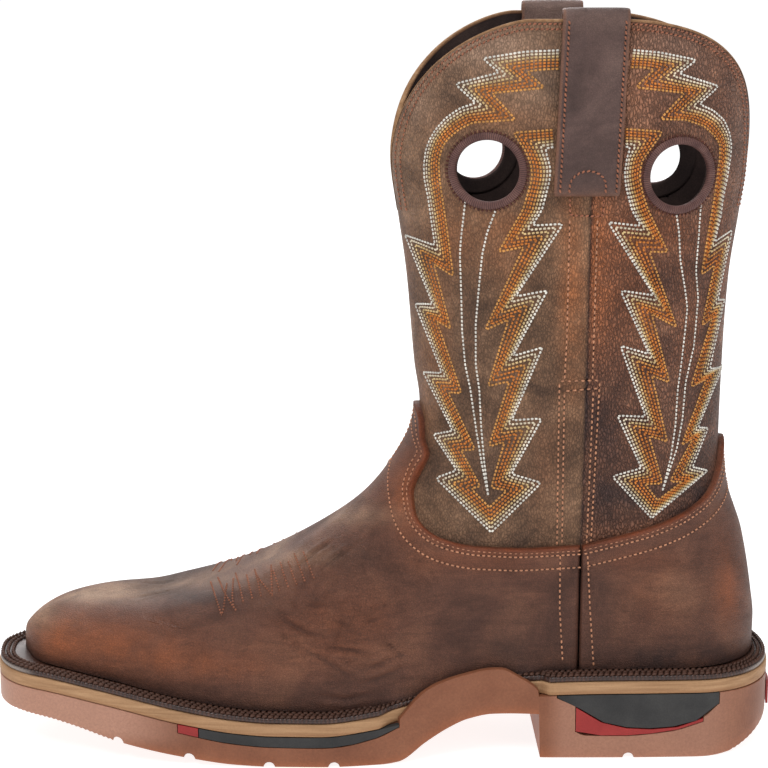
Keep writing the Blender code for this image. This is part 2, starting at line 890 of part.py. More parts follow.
def make_outsole():
    bends = SOLE_PROFILE.column("x")
    sections = []
    for x in stations(TOE_X, HEEL_X, bends[(bends > FOREFOOT_FLAT) & (bends < HEEL_CURVE)]):
        lateral = float(sole_edge(x, "lateral"))
        medial = float(sole_edge(x, "medial"))
        low = float(SOLE_PROFILE.at("tread", x))
        high = float(outsole_top(x))
        bevel = TREAD_BEVEL
        sections.append(
            [
                (x, lateral + bevel, low),
                (x, medial - bevel, low),
                (x, medial, low + bevel),
                (x, medial, high),
                (x, lateral, high),
                (x, lateral, low + bevel),
            ]
        )
    outsole = place("outsole", loft("outsole", sections), "rubber")
    for x in GROOVES_X:
        level = float(SOLE_PROFILE.at("tread", x))
        centre = (x, 0.0, level - GAP)
        name = f"groove {x:.0f}"
        groove = cylinder(name, GROOVE_RADIUS, GROOVE_REACH, centre, (0.0, 1.0, 0.0), GROOVE_SIDES)
        cut(outsole, as_cutter(groove))
    for side in SIDES:
        lip_places = np.linspace(LIP.column("x")[0], LIP.column("x")[-1], LIP_STEPS)
        lip = band_cutter(f"lip {side}", lip_places, lip_root, lip_top, LIP_THICK, LIP_PROUD, side)
        cut(outsole, lip, "UNION")
        for cutter in inlay_pockets(side):
            cut(outsole, cutter)


# Inlays in the side of the sole


def strip_low(x):
    return outsole_top(x) - FOREFOOT_STRIP.at("height", x)


def strip_floor(x):
    return strip_low(x) - GAP


def pocket_roof(x):
    return outsole_top(x) + CUTTER_REACH


def heel_floor(x):
    """Floor of the pocket for the heel's inlays, under the wedge where there is one, else the panel."""
    wedge = WEDGE_FRONT - GAP <= x <= WEDGE_BACK + GAP
    low = HEEL_WEDGE.at("low", x) if wedge else HEEL_PANEL.at("low", x)
    return low - GAP


def forefoot_places(start, end):
    return np.linspace(start, end, max(3, round((end - start) / INLAY_STEP)))


def heel_places(start, end):
    steps = forefoot_places(start, end)
    corners = (WEDGE_FRONT - GAP - 0.02, WEDGE_FRONT - GAP, WEDGE_BACK + GAP, WEDGE_BACK + GAP + 0.02)
    return np.unique(np.concatenate([steps, [x for x in corners if start < x < end]]))


def inlay_pockets(side):
    forefoot_end = float(FOREFOOT_STRIP.column("x")[-1])
    panel_x = HEEL_PANEL.column("x")
    depth = INLAY_DEPTH + GAP
    forefoot = forefoot_places(CHIP_FRONT - GAP, forefoot_end + GAP)
    heel = heel_places(panel_x[0] - GAP, panel_x[-1] + GAP)
    reach = CUTTER_REACH
    yield band_cutter(f"forefoot pocket {side}", forefoot, strip_floor, pocket_roof, depth, reach, side)
    yield band_cutter(f"heel pocket {side}", heel, heel_floor, pocket_roof, depth, reach, side)


def make_inlays(side):
    forefoot_end = float(FOREFOOT_STRIP.column("x")[-1])
    panel_x = HEEL_PANEL.column("x")
    chip = forefoot_places(CHIP_FRONT, INSERT_FRONT - GAP)
    insert = forefoot_places(INSERT_FRONT, forefoot_end)
    shapes = (
        ("forefoot_chip", "red", chip, strip_low, outsole_top),
        ("forefoot_insert", "charcoal", insert, strip_low, outsole_top),
        (
            "heel_insert",
            "charcoal",
            forefoot_places(panel_x[0], panel_x[-1]),
            lambda x: HEEL_PANEL.at("low", x),
            outsole_top,
        ),
        (
            "heel_wedge",
            "red",
            forefoot_places(WEDGE_FRONT, WEDGE_BACK),
            lambda x: HEEL_WEDGE.at("low", x),
            lambda x: HEEL_PANEL.at("low", x) - 2 * GAP,
        ),
    )
    for kind, finish, places, low, high in shapes:
        name = f"{kind}_{side}"
        place(name, side_band(name, places, low, high, INLAY_DEPTH, 0.0, side), finish)


def make_heel_tab():
    """Small plate that follows the round back of the heel."""
    centre = float(SOLE_PLAN.at("centre", HEEL_X))
    sections = []
    for y in np.linspace(-TAB_WIDTH / 2, TAB_WIDTH / 2, TAB_STEPS):
        half = float(SOLE_PLAN.at("lateral" if y < 0 else "medial", HEEL_X))
        reach = 1 - (1 - (abs(y) / half) ** HEEL_SQUARE) ** (1 / HEEL_SQUARE)
        inner = HEEL_X - HEEL_DEPTH * reach + GAP
        outer = inner + TAB_PROUD
        across = centre + y
        section = [(inner, across, TAB_LOW), (outer, across, TAB_LOW)]
        section += [(outer, across, TAB_HIGH), (inner, across, TAB_HIGH)]
        sections.append(section)
    place("heel_tab", loft("heel_tab", sections), "red")


for old in list(bpy.data.objects):
    bpy.data.objects.remove(old, do_unlink=True)

PIECES = bpy.data.collections.new("western boot")
CUTTERS = bpy.data.collections.new("western boot cutters")
bpy.context.scene.collection.children.link(PIECES)
bpy.context.scene.collection.children.link(CUTTERS)
MATERIALS = {name: material(name) for name in COLOURS}

view_grids = panels()
wall_grids = {side: {name: wall(grid, side) for name, grid in view_grids.items()} for side in SIDES}
make_upper(wall_grids)
make_overlays(wall_grids)
for boot_side in SIDES:
    make_strap(boot_side)
    for hole_spot in HOLES:
        make_binding(boot_side, hole_spot)
make_insole()
make_welt()
make_midsole()
make_outsole()
for boot_side in SIDES:
    make_inlays(boot_side)
make_heel_tab()
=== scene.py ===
# Western boot, left foot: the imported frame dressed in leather, thread and rubber
import math

import bmesh
import bpy
import numpy as np
from mathutils import Matrix, Vector
from mathutils.bvhtree import BVHTree


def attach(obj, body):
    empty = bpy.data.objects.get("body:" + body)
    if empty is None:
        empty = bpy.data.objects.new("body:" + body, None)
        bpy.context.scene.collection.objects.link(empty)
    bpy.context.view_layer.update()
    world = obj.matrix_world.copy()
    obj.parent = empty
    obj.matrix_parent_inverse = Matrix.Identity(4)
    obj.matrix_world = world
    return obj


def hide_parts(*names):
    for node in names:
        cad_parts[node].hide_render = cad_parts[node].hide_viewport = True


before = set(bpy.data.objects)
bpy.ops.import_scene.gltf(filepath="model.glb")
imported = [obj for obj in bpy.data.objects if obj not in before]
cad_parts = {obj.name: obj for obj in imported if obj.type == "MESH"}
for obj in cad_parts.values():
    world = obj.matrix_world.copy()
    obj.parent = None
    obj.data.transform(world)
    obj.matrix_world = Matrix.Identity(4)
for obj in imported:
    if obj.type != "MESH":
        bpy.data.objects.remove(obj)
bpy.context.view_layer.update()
print("frame loaded with", len(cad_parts), "nodes")

mm = 0.001
sideSign = {"lateral": -1.0, "medial": 1.0}

# Sizes that the dressed boot shares with its solids, in millimetres
boot = {
    "toe": -161.0, "heel": 158.7, "seam": 77.0,
    "collarDip": 218.0, "collarPeak": 295.0, "collarSoftness": 0.03,
    "frontClimb": 0.40, "frontSquare": 1.5, "rearClimb": 0.43, "rearSquare": 2.0,
    "wall": 2.2, "overlay": 2.05, "midsole": 5.0, "welt": 2.2,
    "gap": 0.3, "featherGap": 0.6, "featherStand": 5.0, "outlineSlack": 0.05,
    "toeCorner": 44.5, "footTop": 60.0, "legStart": 135.0, "legCentre": -4.0, "ringLevel": 100.0,
    "toeDepth": {"lateral": 20.0, "medial": 34.0}, "toeSquare": {"lateral": 3.0, "medial": 2.2},
    "heelDepth": 36.0, "heelSquare": 2.2,
}

# How finely the wall is searched; ridgeTurn is the bare turn kept beside the front and back lines
fineness = {"heights": 1200, "outline": 240, "rings": 500, "edges": 400, "chunk": 3000, "ridgeTurn": 0.028}


# Smooth curves through hand-set points

def curveThrough(keys, values, at):
    step = np.diff(keys)
    slope = np.diff(values) / step
    product = slope[:-1] * slope[1:]
    total = slope[:-1] + slope[1:]
    turning = (product <= 0) | (total == 0)   # no overshoot where the values turn
    inner = np.where(turning, 0.0, 2 * product / np.where(turning, 1.0, total))
    tangent = np.concatenate([slope[:1], inner, slope[-1:]])
    at = np.clip(at, keys[0], keys[-1])
    index = np.clip(np.searchsorted(keys, at) - 1, 0, len(step) - 1)
    share = (at - keys[index]) / step[index]
    rise = values[index + 1] - values[index]
    start = tangent[index] * step[index]
    end = tangent[index + 1] * step[index]
    bend = 3 * rise - 2 * start - end
    twist = start + end - 2 * rise
    return values[index] + share * (start + share * (bend + share * twist))


def makeTable(names, rows):
    columns = np.array(rows, float).T
    table = dict(zip(names, columns))
    table["key"] = columns[0]
    return table


def makeLine(names, rows):
    line = makeTable(names, rows)
    run = np.hypot(np.diff(line["x"]), np.diff(line["z"]))
    line["place"] = np.concatenate([[0.0], np.cumsum(run)]) / run.sum()
    return line


def readAt(table, name, key):
    return curveThrough(table["key"], table[name], np.asarray(key, float))


def along(line, name, place):
    return curveThrough(line["place"], line[name], np.asarray(place, float))


def linePoints(line, place):
    return np.stack([along(line, "x", place), along(line, "z", place)], axis=-1)


def placeAtHeight(line, z):
    steps = np.linspace(0, 1, fineness["heights"])
    return np.interp(z, along(line, "z", steps), steps)


def atHeight(line, z):
    return along(line, "x", placeAtHeight(line, z))


def fade(share):
    share = np.clip(share, 0, 1)
    return share * share * (3 - 2 * share)


def rounded(share, power):
    inside = 1 - np.clip(share, 0, 1)
    return (1 - inside**power) ** (1 / power)


def unit(vectors):
    return vectors / np.maximum(np.linalg.norm(vectors, axis=-1, keepdims=True), 1e-9)


def fullTurn(count):
    return np.linspace(0, 2 * math.pi, count, endpoint=False)


# Forms of the sole and the boot, the same as the solids

solePlan = makeTable(
    ("x", "centre", "lateral", "medial", "shelf"),
    [
        (boot["toe"], -5.0, 24.0, 20.0, 11.0), (-140.0, -1.0, 36.4, 31.0, 11.0),
        (-112.0, 1.8, 48.3, 46.2, 10.4), (-85.0, 1.5, 53.0, 51.4, 9.8),
        (-62.0, 0.8, 54.4, 53.2, 9.6), (-28.0, -1.0, 54.0, 50.0, 9.4),
        (0.0, -2.6, 49.6, 43.4, 7.0), (28.0, -4.6, 42.4, 34.6, 6.0), (50.0, -5.6, 39.4, 34.2, 6.0),
        (66.0, -6.0, 40.4, 37.4, 9.0), (100.0, -6.0, 40.8, 38.6, 9.4), (boot["heel"], -6.0, 39.4, 38.0, 9.6),
    ],
)
soleProfile = makeTable(
    ("x", "tread", "midsole"),
    [
        (boot["toe"], 17.6, 33.7), (-138.0, 15.2, 32.0), (-125.0, 12.6, 30.4), (-111.0, 8.8, 28.2),
        (-81.0, 3.2, 22.2), (-60.0, 0.6, 19.0), (-47.0, 0.0, 18.1), (-28.0, 0.0, 18.0), (-4.0, 0.0, 20.4),
        (4.0, 0.8, 22.1), (15.0, 8.1, 24.4), (24.0, 13.4, 26.3), (32.0, 16.8, 27.9), (42.0, 18.4, 29.7),
        (60.6, 18.4, 31.5), (61.2, 0.0, 31.6), (90.0, 0.0, 32.4), (128.0, 0.0, 32.5), (139.0, 1.0, 32.5),
        (146.0, 3.4, 32.5), (152.0, 6.3, 32.5), (156.5, 9.0, 32.5), (boot["heel"], 11.5, 32.5),
    ],
)
lipLine = makeTable(
    ("x", "top"),
    [
        (4.0, 19.0), (10.0, 26.0), (14.0, 29.6), (20.0, 32.8), (30.0, 35.8), (42.0, 37.8), (46.0, 37.6),
        (52.0, 34.6), (58.0, 31.0), (60.2, 29.0),
    ],
)
lipInset = makeTable(("x", "inset"), [(-4.0, 0.0), (3.0, 3.1), (60.6, 3.1), (65.0, 0.0)])
frontLine = makeLine(
    ("x", "z", "round"),
    [
        (-149.2, 34.0, 11.0), (-149.2, 42.6, 11.0), (-145.6, 47.2, 12.5), (-141.0, 50.4, 15.0),
        (-133.7, 53.6, 18.0), (-125.1, 55.4, 20.5), (-113.7, 56.8, 24.0), (-99.2, 58.2, 28.0),
        (-85.7, 61.6, 32.0), (-60.5, 69.0, 39.0), (-33.2, 81.4, 46.0), (-10.2, 96.8, 51.0),
        (2.4, 111.6, 56.0), (12.2, 131.0, 60.0), (13.4, 139.3, 62.0), (11.2, 156.0, 64.0),
        (8.0, 192.0, 65.0), (4.3, 218.0, 66.0), (0.3, 245.0, 67.0), (0.0, 262.0, 67.0), (0.5, 302.0, 67.0),
    ],
)
backLine = makeLine(
    ("x", "z", "round"),
    [
        (150.6, 33.0, 32.0), (150.8, 41.0, 32.0), (150.9, 49.0, 32.5), (149.6, 60.0, 34.0),
        (145.2, 84.5, 40.0), (138.2, 107.0, 47.0), (136.4, 125.0, 53.0), (137.0, 165.0, 61.0),
        (138.2, 191.0, 64.0), (141.6, 218.0, 66.0), (143.8, 235.0, 67.0), (144.8, 262.0, 67.0),
        (145.2, 302.0, 67.0),
    ],
)
ringRise = makeTable(
    ("front", "back"),
    [
        (0.0, 0.0), (6.4, 7.4), (14.3, 14.4), (20.1, 21.4), (28.9, 30.4), (40.8, 40.4), (56.4, 53.4),
        (74.2, 67.4), (93.8, 83.4), (102.8, 92.4), (122.8, 118.4), (154.8, 154.4), (180.8, 182.4),
        (264.8, 266.4),
    ],
)
legWidth = makeTable(
    ("z", "half"),
    [(60.0, 36.0), (100.0, 37.8), (125.0, 39.5), (160.0, 42.5), (200.0, 45.5), (240.0, 47.0), (302.0, 46.0)],
)
vampEdge = makeLine(
    ("x", "z"),
    [
        (13.4, 139.3), (15.2, 133.0), (15.4, 127.0), (17.0, 121.5), (13.0, 113.0), (10.6, 105.5),
        (11.6, 98.0), (21.0, 90.2), (36.5, 87.3), (56.5, 86.7), (77.0, 87.6),
    ],
)
counterEdge = makeLine(
    ("x", "z"),
    [
        (77.0, 87.6), (92.4, 91.6), (108.0, 96.0), (120.0, 100.6), (129.0, 106.5), (134.0, 116.0),
        (136.4, 125.0),
    ],
)
stripHeight = makeTable(("x", "height"), [(-84.4, 3.4), (-60.0, 4.0), (-20.0, 4.2), (-6.0, 3.2), (4.0, 0.9)])
heelPanelLow = makeTable(
    ("x", "low"),
    [
        (68.0, 25.8), (76.0, 22.0), (83.0, 17.2), (91.0, 14.2), (103.0, 12.8), (118.0, 13.8), (127.0, 17.2),
        (133.5, 22.6),
    ],
)
heelWedgeLow = makeTable(
    ("x", "low"),
    [(75.5, 11.6), (79.0, 10.0), (94.0, 9.8), (114.0, 11.6), (127.0, 15.4)],
)
pullHoles = {"front": (37.6, 238.0), "rear": (111.5, 236.0)}


def feather(x):
    return readAt(soleProfile, "midsole", x) + boot["gap"] + boot["welt"] + boot["featherGap"]


def closing(x, z, line, start=0.0, end=1.0):
    # share of its full half-width that the wall has near a stretch of outline
    place = np.linspace(start, end, fineness["outline"])
    corner = linePoints(line, place)
    reach = along(line, "round", place)
    leg = np.diff(corner, axis=0)
    legSquare = (leg * leg).sum(-1)
    flatX = np.ravel(x)
    flatZ = np.ravel(z)
    nearest = np.empty(len(flatX))
    for first in range(0, len(flatX), fineness["chunk"]):
        part = slice(first, first + fineness["chunk"])
        dx = flatX[part, None] - corner[:-1, 0]
        dz = flatZ[part, None] - corner[:-1, 1]
        share = np.clip((dx * leg[:, 0] + dz * leg[:, 1]) / legSquare, 0, 1)
        away = np.hypot(dx - share * leg[:, 0], dz - share * leg[:, 1])
        radius = reach[:-1] + share * np.diff(reach)
        nearest[part] = ((away - boot["outlineSlack"]) / radius).min(axis=1)
    return rounded(nearest, 2.0).reshape(np.shape(x))


def legShare(z):
    # how much of the way from the foot to the leg a height has gone
    return fade((z - boot["footTop"]) / (boot["legStart"] - boot["footTop"]))


def fullHalf(x, z, side):
    foot = readAt(solePlan, side, x) - readAt(solePlan, "shelf", x)
    leg = readAt(legWidth, "half", z)
    return foot + (leg - foot) * legShare(z)


def middleY(x, z):
    foot = readAt(solePlan, "centre", x)
    return foot + (boot["legCentre"] - foot) * legShare(z)


def narrowing(x, z):
    corner = float(placeAtHeight(frontLine, boot["toeCorner"]))
    toe = closing(x, z, frontLine, 0.0, corner)
    instep = closing(x, z, frontLine, corner, 1.0)
    return toe * instep * closing(x, z, backLine)


def wallY(x, z, medial):
    # where the wall stands over side-view points; medial is a mask
    upright = np.maximum(z, feather(x) + boot["featherStand"])
    full = np.where(medial, fullHalf(x, upright, "medial"), fullHalf(x, upright, "lateral"))
    return middleY(x, z) + np.where(medial, 1.0, -1.0) * full * narrowing(x, upright)


def ringEnds(place):
    front = linePoints(frontLine, place)
    rise = readAt(ringRise, "back", front[..., 1] - feather(frontLine["x"][0]))
    backZ = feather(backLine["x"][0]) + rise
    return front, np.stack([atHeight(backLine, backZ), backZ], axis=-1)


def ringPoint(share, place):
    front, back = ringEnds(place)
    straight = front + (back - front) * share[..., None]
    toe = feather(frontLine["x"][0])
    level = toe + (feather(backLine["x"][0]) - toe) * share
    sag = 1 - fade((front[..., 1] - toe) / (boot["ringLevel"] - toe))
    x = straight[..., 0]
    return x, straight[..., 1] + sag * (feather(x) - level)


def seamShare(place):
    front, back = ringEnds(place)
    return (boot["seam"] - front[..., 0]) / (back[..., 0] - front[..., 0])


def wallAt(turn, place):
    # turn runs round the boot: 0 front, 1 lateral seam, 2 back, 3 medial seam; place climbs the rings
    turn = np.mod(turn, 4.0)
    medial = turn > 2.0
    column = np.where(medial, 4.0 - turn, turn)
    seam = seamShare(place)
    forward = seam * (1 - np.cos(np.clip(column, 0, 1) * math.pi / 2))
    rearward = (1 - seam) * np.sin(np.clip(column - 1, 0, 1) * math.pi / 2)
    x, z = ringPoint(forward + rearward, place)
    return np.stack([x, wallY(x, z, medial), z], axis=-1)


def wallFrame(turn, place):
    # points of the wall with its outward direction
    stepTurn = 0.05
    stepPlace = 0.003
    across = wallAt(turn + stepTurn, place) - wallAt(turn - stepTurn, place)
    up = wallAt(turn, np.minimum(place + stepPlace, 1.0)) - wallAt(turn, place - stepPlace)
    return wallAt(turn, place), unit(np.cross(across, up))


lowPlace = float(placeAtHeight(frontLine, feather(frontLine["x"][0])))
ringSteps = np.linspace(lowPlace, 1.0, fineness["rings"])
ringFront, ringBack = ringEnds(ringSteps)


def findOnWall(x, z, side):
    # turn and place of side-view points
    toe = feather(frontLine["x"][0])
    heel = feather(backLine["x"][0])
    share = (x[:, None] - ringFront[:, 0]) / (ringBack[:, 0] - ringFront[:, 0])
    straight = ringFront[:, 1] + (ringBack[:, 1] - ringFront[:, 1]) * share
    sag = 1 - fade((ringFront[:, 1] - toe) / (boot["ringLevel"] - toe))
    height = straight + sag * (feather(x)[:, None] - toe - (heel - toe) * share)
    place = np.array([np.interp(level, row, ringSteps) for level, row in zip(z, height)])
    share = np.array([np.interp(spot, ringSteps, row) for spot, row in zip(place, share)])
    seam = seamShare(place)
    forward = np.arccos(np.clip(1 - share / seam, 0, 1)) / (math.pi / 2)
    rearward = 1 + np.arcsin(np.clip((share - seam) / (1 - seam), 0, 1)) / (math.pi / 2)
    column = np.where(share < seam, forward, rearward)
    return (column if side == "lateral" else 4.0 - column), place


def collarLift(share, end):
    # how much of its height the collar has gained from its front or rear dip
    soft = boot["collarSoftness"]
    return rounded(np.hypot(share / boot[end + "Climb"], soft) - soft, boot[end + "Square"])


def collarPoints(shares):
    lift = np.minimum(collarLift(shares, "front"), collarLift(1 - shares, "rear"))
    z = boot["collarDip"] + (boot["collarPeak"] - boot["collarDip"]) * lift
    front = atHeight(frontLine, z)
    back = atHeight(backLine, z)
    return np.stack([front + (back - front) * (1 - np.cos(math.pi * shares)) / 2, z], axis=-1)


def edgePlaces(points, columns):
    # ring places where each column meets a line drawn in the side view
    turn, place = findOnWall(points[:, 0], points[:, 1], "lateral")
    return np.interp(columns, np.maximum.accumulate(turn), place)


lineSteps = np.linspace(0, 1, fineness["edges"])
overlayTop = np.concatenate([linePoints(vampEdge, lineSteps), linePoints(counterEdge, lineSteps)])
collarTop = collarPoints(lineSteps)


def offRidge(turns):
    # columns keep clear of the front and back lines, apart from one on each line
    ridge = np.round(np.asarray(turns) / 2) * 2
    apart = turns[np.abs(turns - ridge) > fineness["ridgeTurn"]]
    lines = np.unique(ridge[(ridge >= turns.min()) & (ridge <= turns.max())])
    return np.unique(np.concatenate([apart, lines]))


def foldTurn(turn):
    turn = np.mod(turn, 4.0)
    return np.where(turn > 2.0, 4.0 - turn, turn)


# Camera of the photograph, and its pixels brought onto the wall

photo = {
    "image": 768, "focal": 2114.2, "place": (-16.37, -850.0, 327.88), "pitch": 12.12, "yaw": 1.033,
    "firstY": -45.0, "rounds": 44, "pull": 0.35, "margin": 0.4, "castStep": 3, "castFrom": 12.0,
}


def cameraAxes():
    pitch = math.radians(photo["pitch"])
    yaw = math.radians(photo["yaw"])
    right = np.array([math.cos(yaw), -math.sin(yaw), 0.0])
    ahead = np.array([math.sin(yaw) * math.cos(pitch), math.cos(yaw) * math.cos(pitch), -math.sin(pitch)])
    return right, ahead, np.cross(right, ahead)


def pixelRays(pixels):
    # directions in which the camera sees pixels of the photograph
    pixels = np.array(pixels, float)
    right, ahead, up = cameraAxes()
    half = photo["image"] / 2
    ray = ahead + np.outer((pixels[:, 0] - half) / photo["focal"], right)
    return ray + np.outer((half - pixels[:, 1]) / photo["focal"], up)


def pixelsOnWall(pixels):
    # side-view points of the lateral wall seen at pixels of the photograph
    ray = pixelRays(pixels)
    eye = np.array(photo["place"])
    y = np.full(len(pixels), photo["firstY"])
    for _ in range(photo["rounds"]):
        spot = eye + ray * ((y - eye[1]) / ray[:, 1])[:, None]
        z = spot[:, 2]
        front = atHeight(frontLine, z) + photo["margin"]
        back = atHeight(backLine, z) - photo["margin"]
        x = np.clip(spot[:, 0], front, back)
        y = y + photo["pull"] * (wallY(x, z, np.zeros(len(x), bool)) - y)
    return np.stack([x, z], axis=-1)


def pixelsOf(points):
    # pixels of the photograph for points of the boot; the medial side takes those of the lateral side
    middle = middleY(points[..., 0], points[..., 2])
    near = middle - np.abs(points[..., 1] - middle)
    right, ahead, up = cameraAxes()
    away = np.stack([points[..., 0], near, points[..., 2]], axis=-1) - np.array(photo["place"])
    depth = away @ ahead
    half = photo["image"] / 2
    return half + photo["focal"] * (away @ right) / depth, half - photo["focal"] * (away @ up) / depth


def patched(points, patches):
    # soft patches set out on the photograph: centre, reach both ways, strength
    u, v = pixelsOf(points)
    total = np.zeros(u.shape)
    for centreU, centreV, reachU, reachV, strength in patches:
        total += strength * np.exp(-(((u - centreU) / reachU) ** 2) - ((v - centreV) / reachV) ** 2)
    return np.clip(total, 0, 1)


# Materials

def paint(red, green, blue):
    def linear(level):
        level = level / 255
        return level / 12.92 if level <= 0.04045 else ((level + 0.055) / 1.055) ** 2.4
    return (linear(red), linear(green), linear(blue), 1.0)


def newMaterial(name):
    material = bpy.data.materials.new(name)
    material.use_nodes = True
    return material, material.node_tree, material.node_tree.nodes["Principled BSDF"]


def plug(tree, node, inputs):
    # links what comes from another node, and sets plain values on the sockets
    for name, value in inputs.items():
        if isinstance(value, bpy.types.NodeSocket):
            tree.links.new(value, node.inputs[name])
        else:
            node.inputs[name].default_value = value


def wire(tree, kind, inputs=None, **settings):
    node = tree.nodes.new(kind)
    for name, value in settings.items():
        setattr(node, name, value)
    plug(tree, node, inputs or {})
    return node


def mixColour(tree, factor, first, second, blend="MIX"):
    node = wire(tree, "ShaderNodeMix", data_type="RGBA", blend_type=blend)
    plug(tree, node, {0: factor, 6: first, 7: second})   # the sockets of a colour mix
    return node.outputs[2]


def shaded(tree, colour, shade):
    return mixColour(tree, 1.0, colour, shade, "MULTIPLY")


def ramp(tree, factor, stops):
    node = wire(tree, "ShaderNodeValToRGB", {"Fac": factor})
    while len(node.color_ramp.elements) < len(stops):
        node.color_ramp.elements.new(0.5)
    for element, (place, colour) in zip(node.color_ramp.elements, stops):
        element.position = place
        element.color = colour
    return node.outputs["Color"]


def noise(tree, place, scale, detail=4.0, rough=0.55, warp=0.0):
    inputs = {"Vector": place, "Scale": scale, "Detail": detail, "Roughness": rough, "Distortion": warp}
    return wire(tree, "ShaderNodeTexNoise", inputs).outputs["Fac"]


def compute(tree, operation, first, second):
    node = wire(tree, "ShaderNodeMath", operation=operation)
    plug(tree, node, {0: first, 1: second})
    return node.outputs[0]


def painted(tree, tone):
    # a tone painted on the points of a piece
    return wire(tree, "ShaderNodeAttribute", attribute_name=tone).outputs["Fac"]


def mapped(tree, place, scale):
    return wire(tree, "ShaderNodeMapping", {"Vector": place, "Scale": scale}).outputs["Vector"]


def surface(tree, shader, colour, height, strength, distance, settings):
    bump = wire(tree, "ShaderNodeBump", {"Height": height, "Strength": strength, "Distance": distance})
    plug(tree, shader, {"Base Color": colour, "Normal": bump.outputs["Normal"], **settings})


def spread(tree, value, low, high, toLow, toHigh):
    inputs = {"Value": value, "From Min": low, "From Max": high, "To Min": toLow, "To Max": toHigh}
    return wire(tree, "ShaderNodeMapRange", inputs).outputs["Result"]


leatherMix = {
    "rubScale": 70.0, "bendFineness": 0.6, "poreFineness": 2.2, "relief": 0.0006, "gloss": 0.07,
    "furrowHalf": 0.07, "furrowShade": 0.4, "furrowDepth": 2.4,
}


def leather(name, look):
    material, tree, shader = newMaterial(name)
    shade = {tone: paint(*levels) for tone, levels in look["tones"].items()}
    place = wire(tree, "ShaderNodeTexCoord").outputs["Object"]
    broad = noise(tree, place, look["mottleScale"], 6.0, 0.62, 0.6)
    colour = ramp(tree, broad, [(0.32, shade["dark"]), (0.5, shade["mid"]), (0.68, shade["light"])])
    # tones painted on the piece, broken up so that they look rubbed in: warm glow of the leather, deep darker
    # patches that are partly painted shade, pale a painted sheen, edge burnish
    rubbed = spread(tree, noise(tree, place, leatherMix["rubScale"], 5.0, 0.65), 0.36, 0.62, 0.55, 1.15)
    for tone in ("warm", "deep", "pale", "edge"):
        amount = compute(tree, "MULTIPLY", painted(tree, tone), rubbed)
        colour = mixColour(tree, amount, colour, shade[tone])
    streak = noise(tree, mapped(tree, place, look["draw"]), look["streakScale"], 6.0, 0.7, 0.8)
    colour = shaded(tree, colour, spread(tree, streak, 0.3, 0.7, 1 - look["fleck"], 1 + look["fleck"]))
    # pebbled grain: cells with creases between, and fine pores
    grained = mapped(tree, place, look["grainDraw"])
    bendInputs = {"Vector": grained, "Scale": look["grainScale"] * leatherMix["bendFineness"]}
    wobble = wire(tree, "ShaderNodeTexNoise", bendInputs).outputs["Color"]
    bent = mixColour(tree, look["grainWarp"], grained, wobble, "LINEAR_LIGHT")
    cellInputs = {"Vector": bent, "Scale": look["grainScale"]}
    cells = wire(tree, "ShaderNodeTexVoronoi", cellInputs, feature="DISTANCE_TO_EDGE").outputs["Distance"]
    pebble = spread(tree, cells, 0.0, look["creaseWidth"], 0.0, 1.0)
    pores = noise(tree, place, look["grainScale"] * leatherMix["poreFineness"], 3.0, 0.6)
    colour = shaded(tree, colour, spread(tree, pebble, 0.0, 1.0, look["creaseShade"], 1.06))
    colour = shaded(tree, colour, spread(tree, pores, 0.3, 0.7, 1 - look["poreShade"], 1.1))
    # soft wrinkles where the leather flexes, with painted shade in their furrows
    folded = noise(tree, place, look["wrinkleScale"], 5.0, 0.6, 1.6)
    wrinkle = compute(tree, "ABSOLUTE", compute(tree, "SUBTRACT", folded, 0.5), 0.0)
    line = spread(tree, wrinkle, 0.0, leatherMix["furrowHalf"], 1.0, 0.0)
    furrow = compute(tree, "MULTIPLY", line, painted(tree, "flex"))
    furrowPaintedShade = compute(tree, "MULTIPLY", furrow, leatherMix["furrowShade"])
    colour = mixColour(tree, furrowPaintedShade, colour, shade["deep"])
    grain = compute(tree, "MULTIPLY", pebble, look["pebble"])
    height = compute(tree, "ADD", grain, compute(tree, "MULTIPLY", pores, look["pore"]))
    height = compute(tree, "SUBTRACT", height, compute(tree, "MULTIPLY", furrow, leatherMix["furrowDepth"]))
    gloss = leatherMix["gloss"]
    settings = {
        "Roughness": spread(tree, broad, 0.3, 0.7, look["rough"] + gloss, look["rough"] - gloss),
        "Specular IOR Level": look["shine"], "Coat Weight": look["coat"], "Coat Roughness": look["coatRough"],
    }
    surface(tree, shader, colour, height, look["bump"], leatherMix["relief"], settings)
    return material


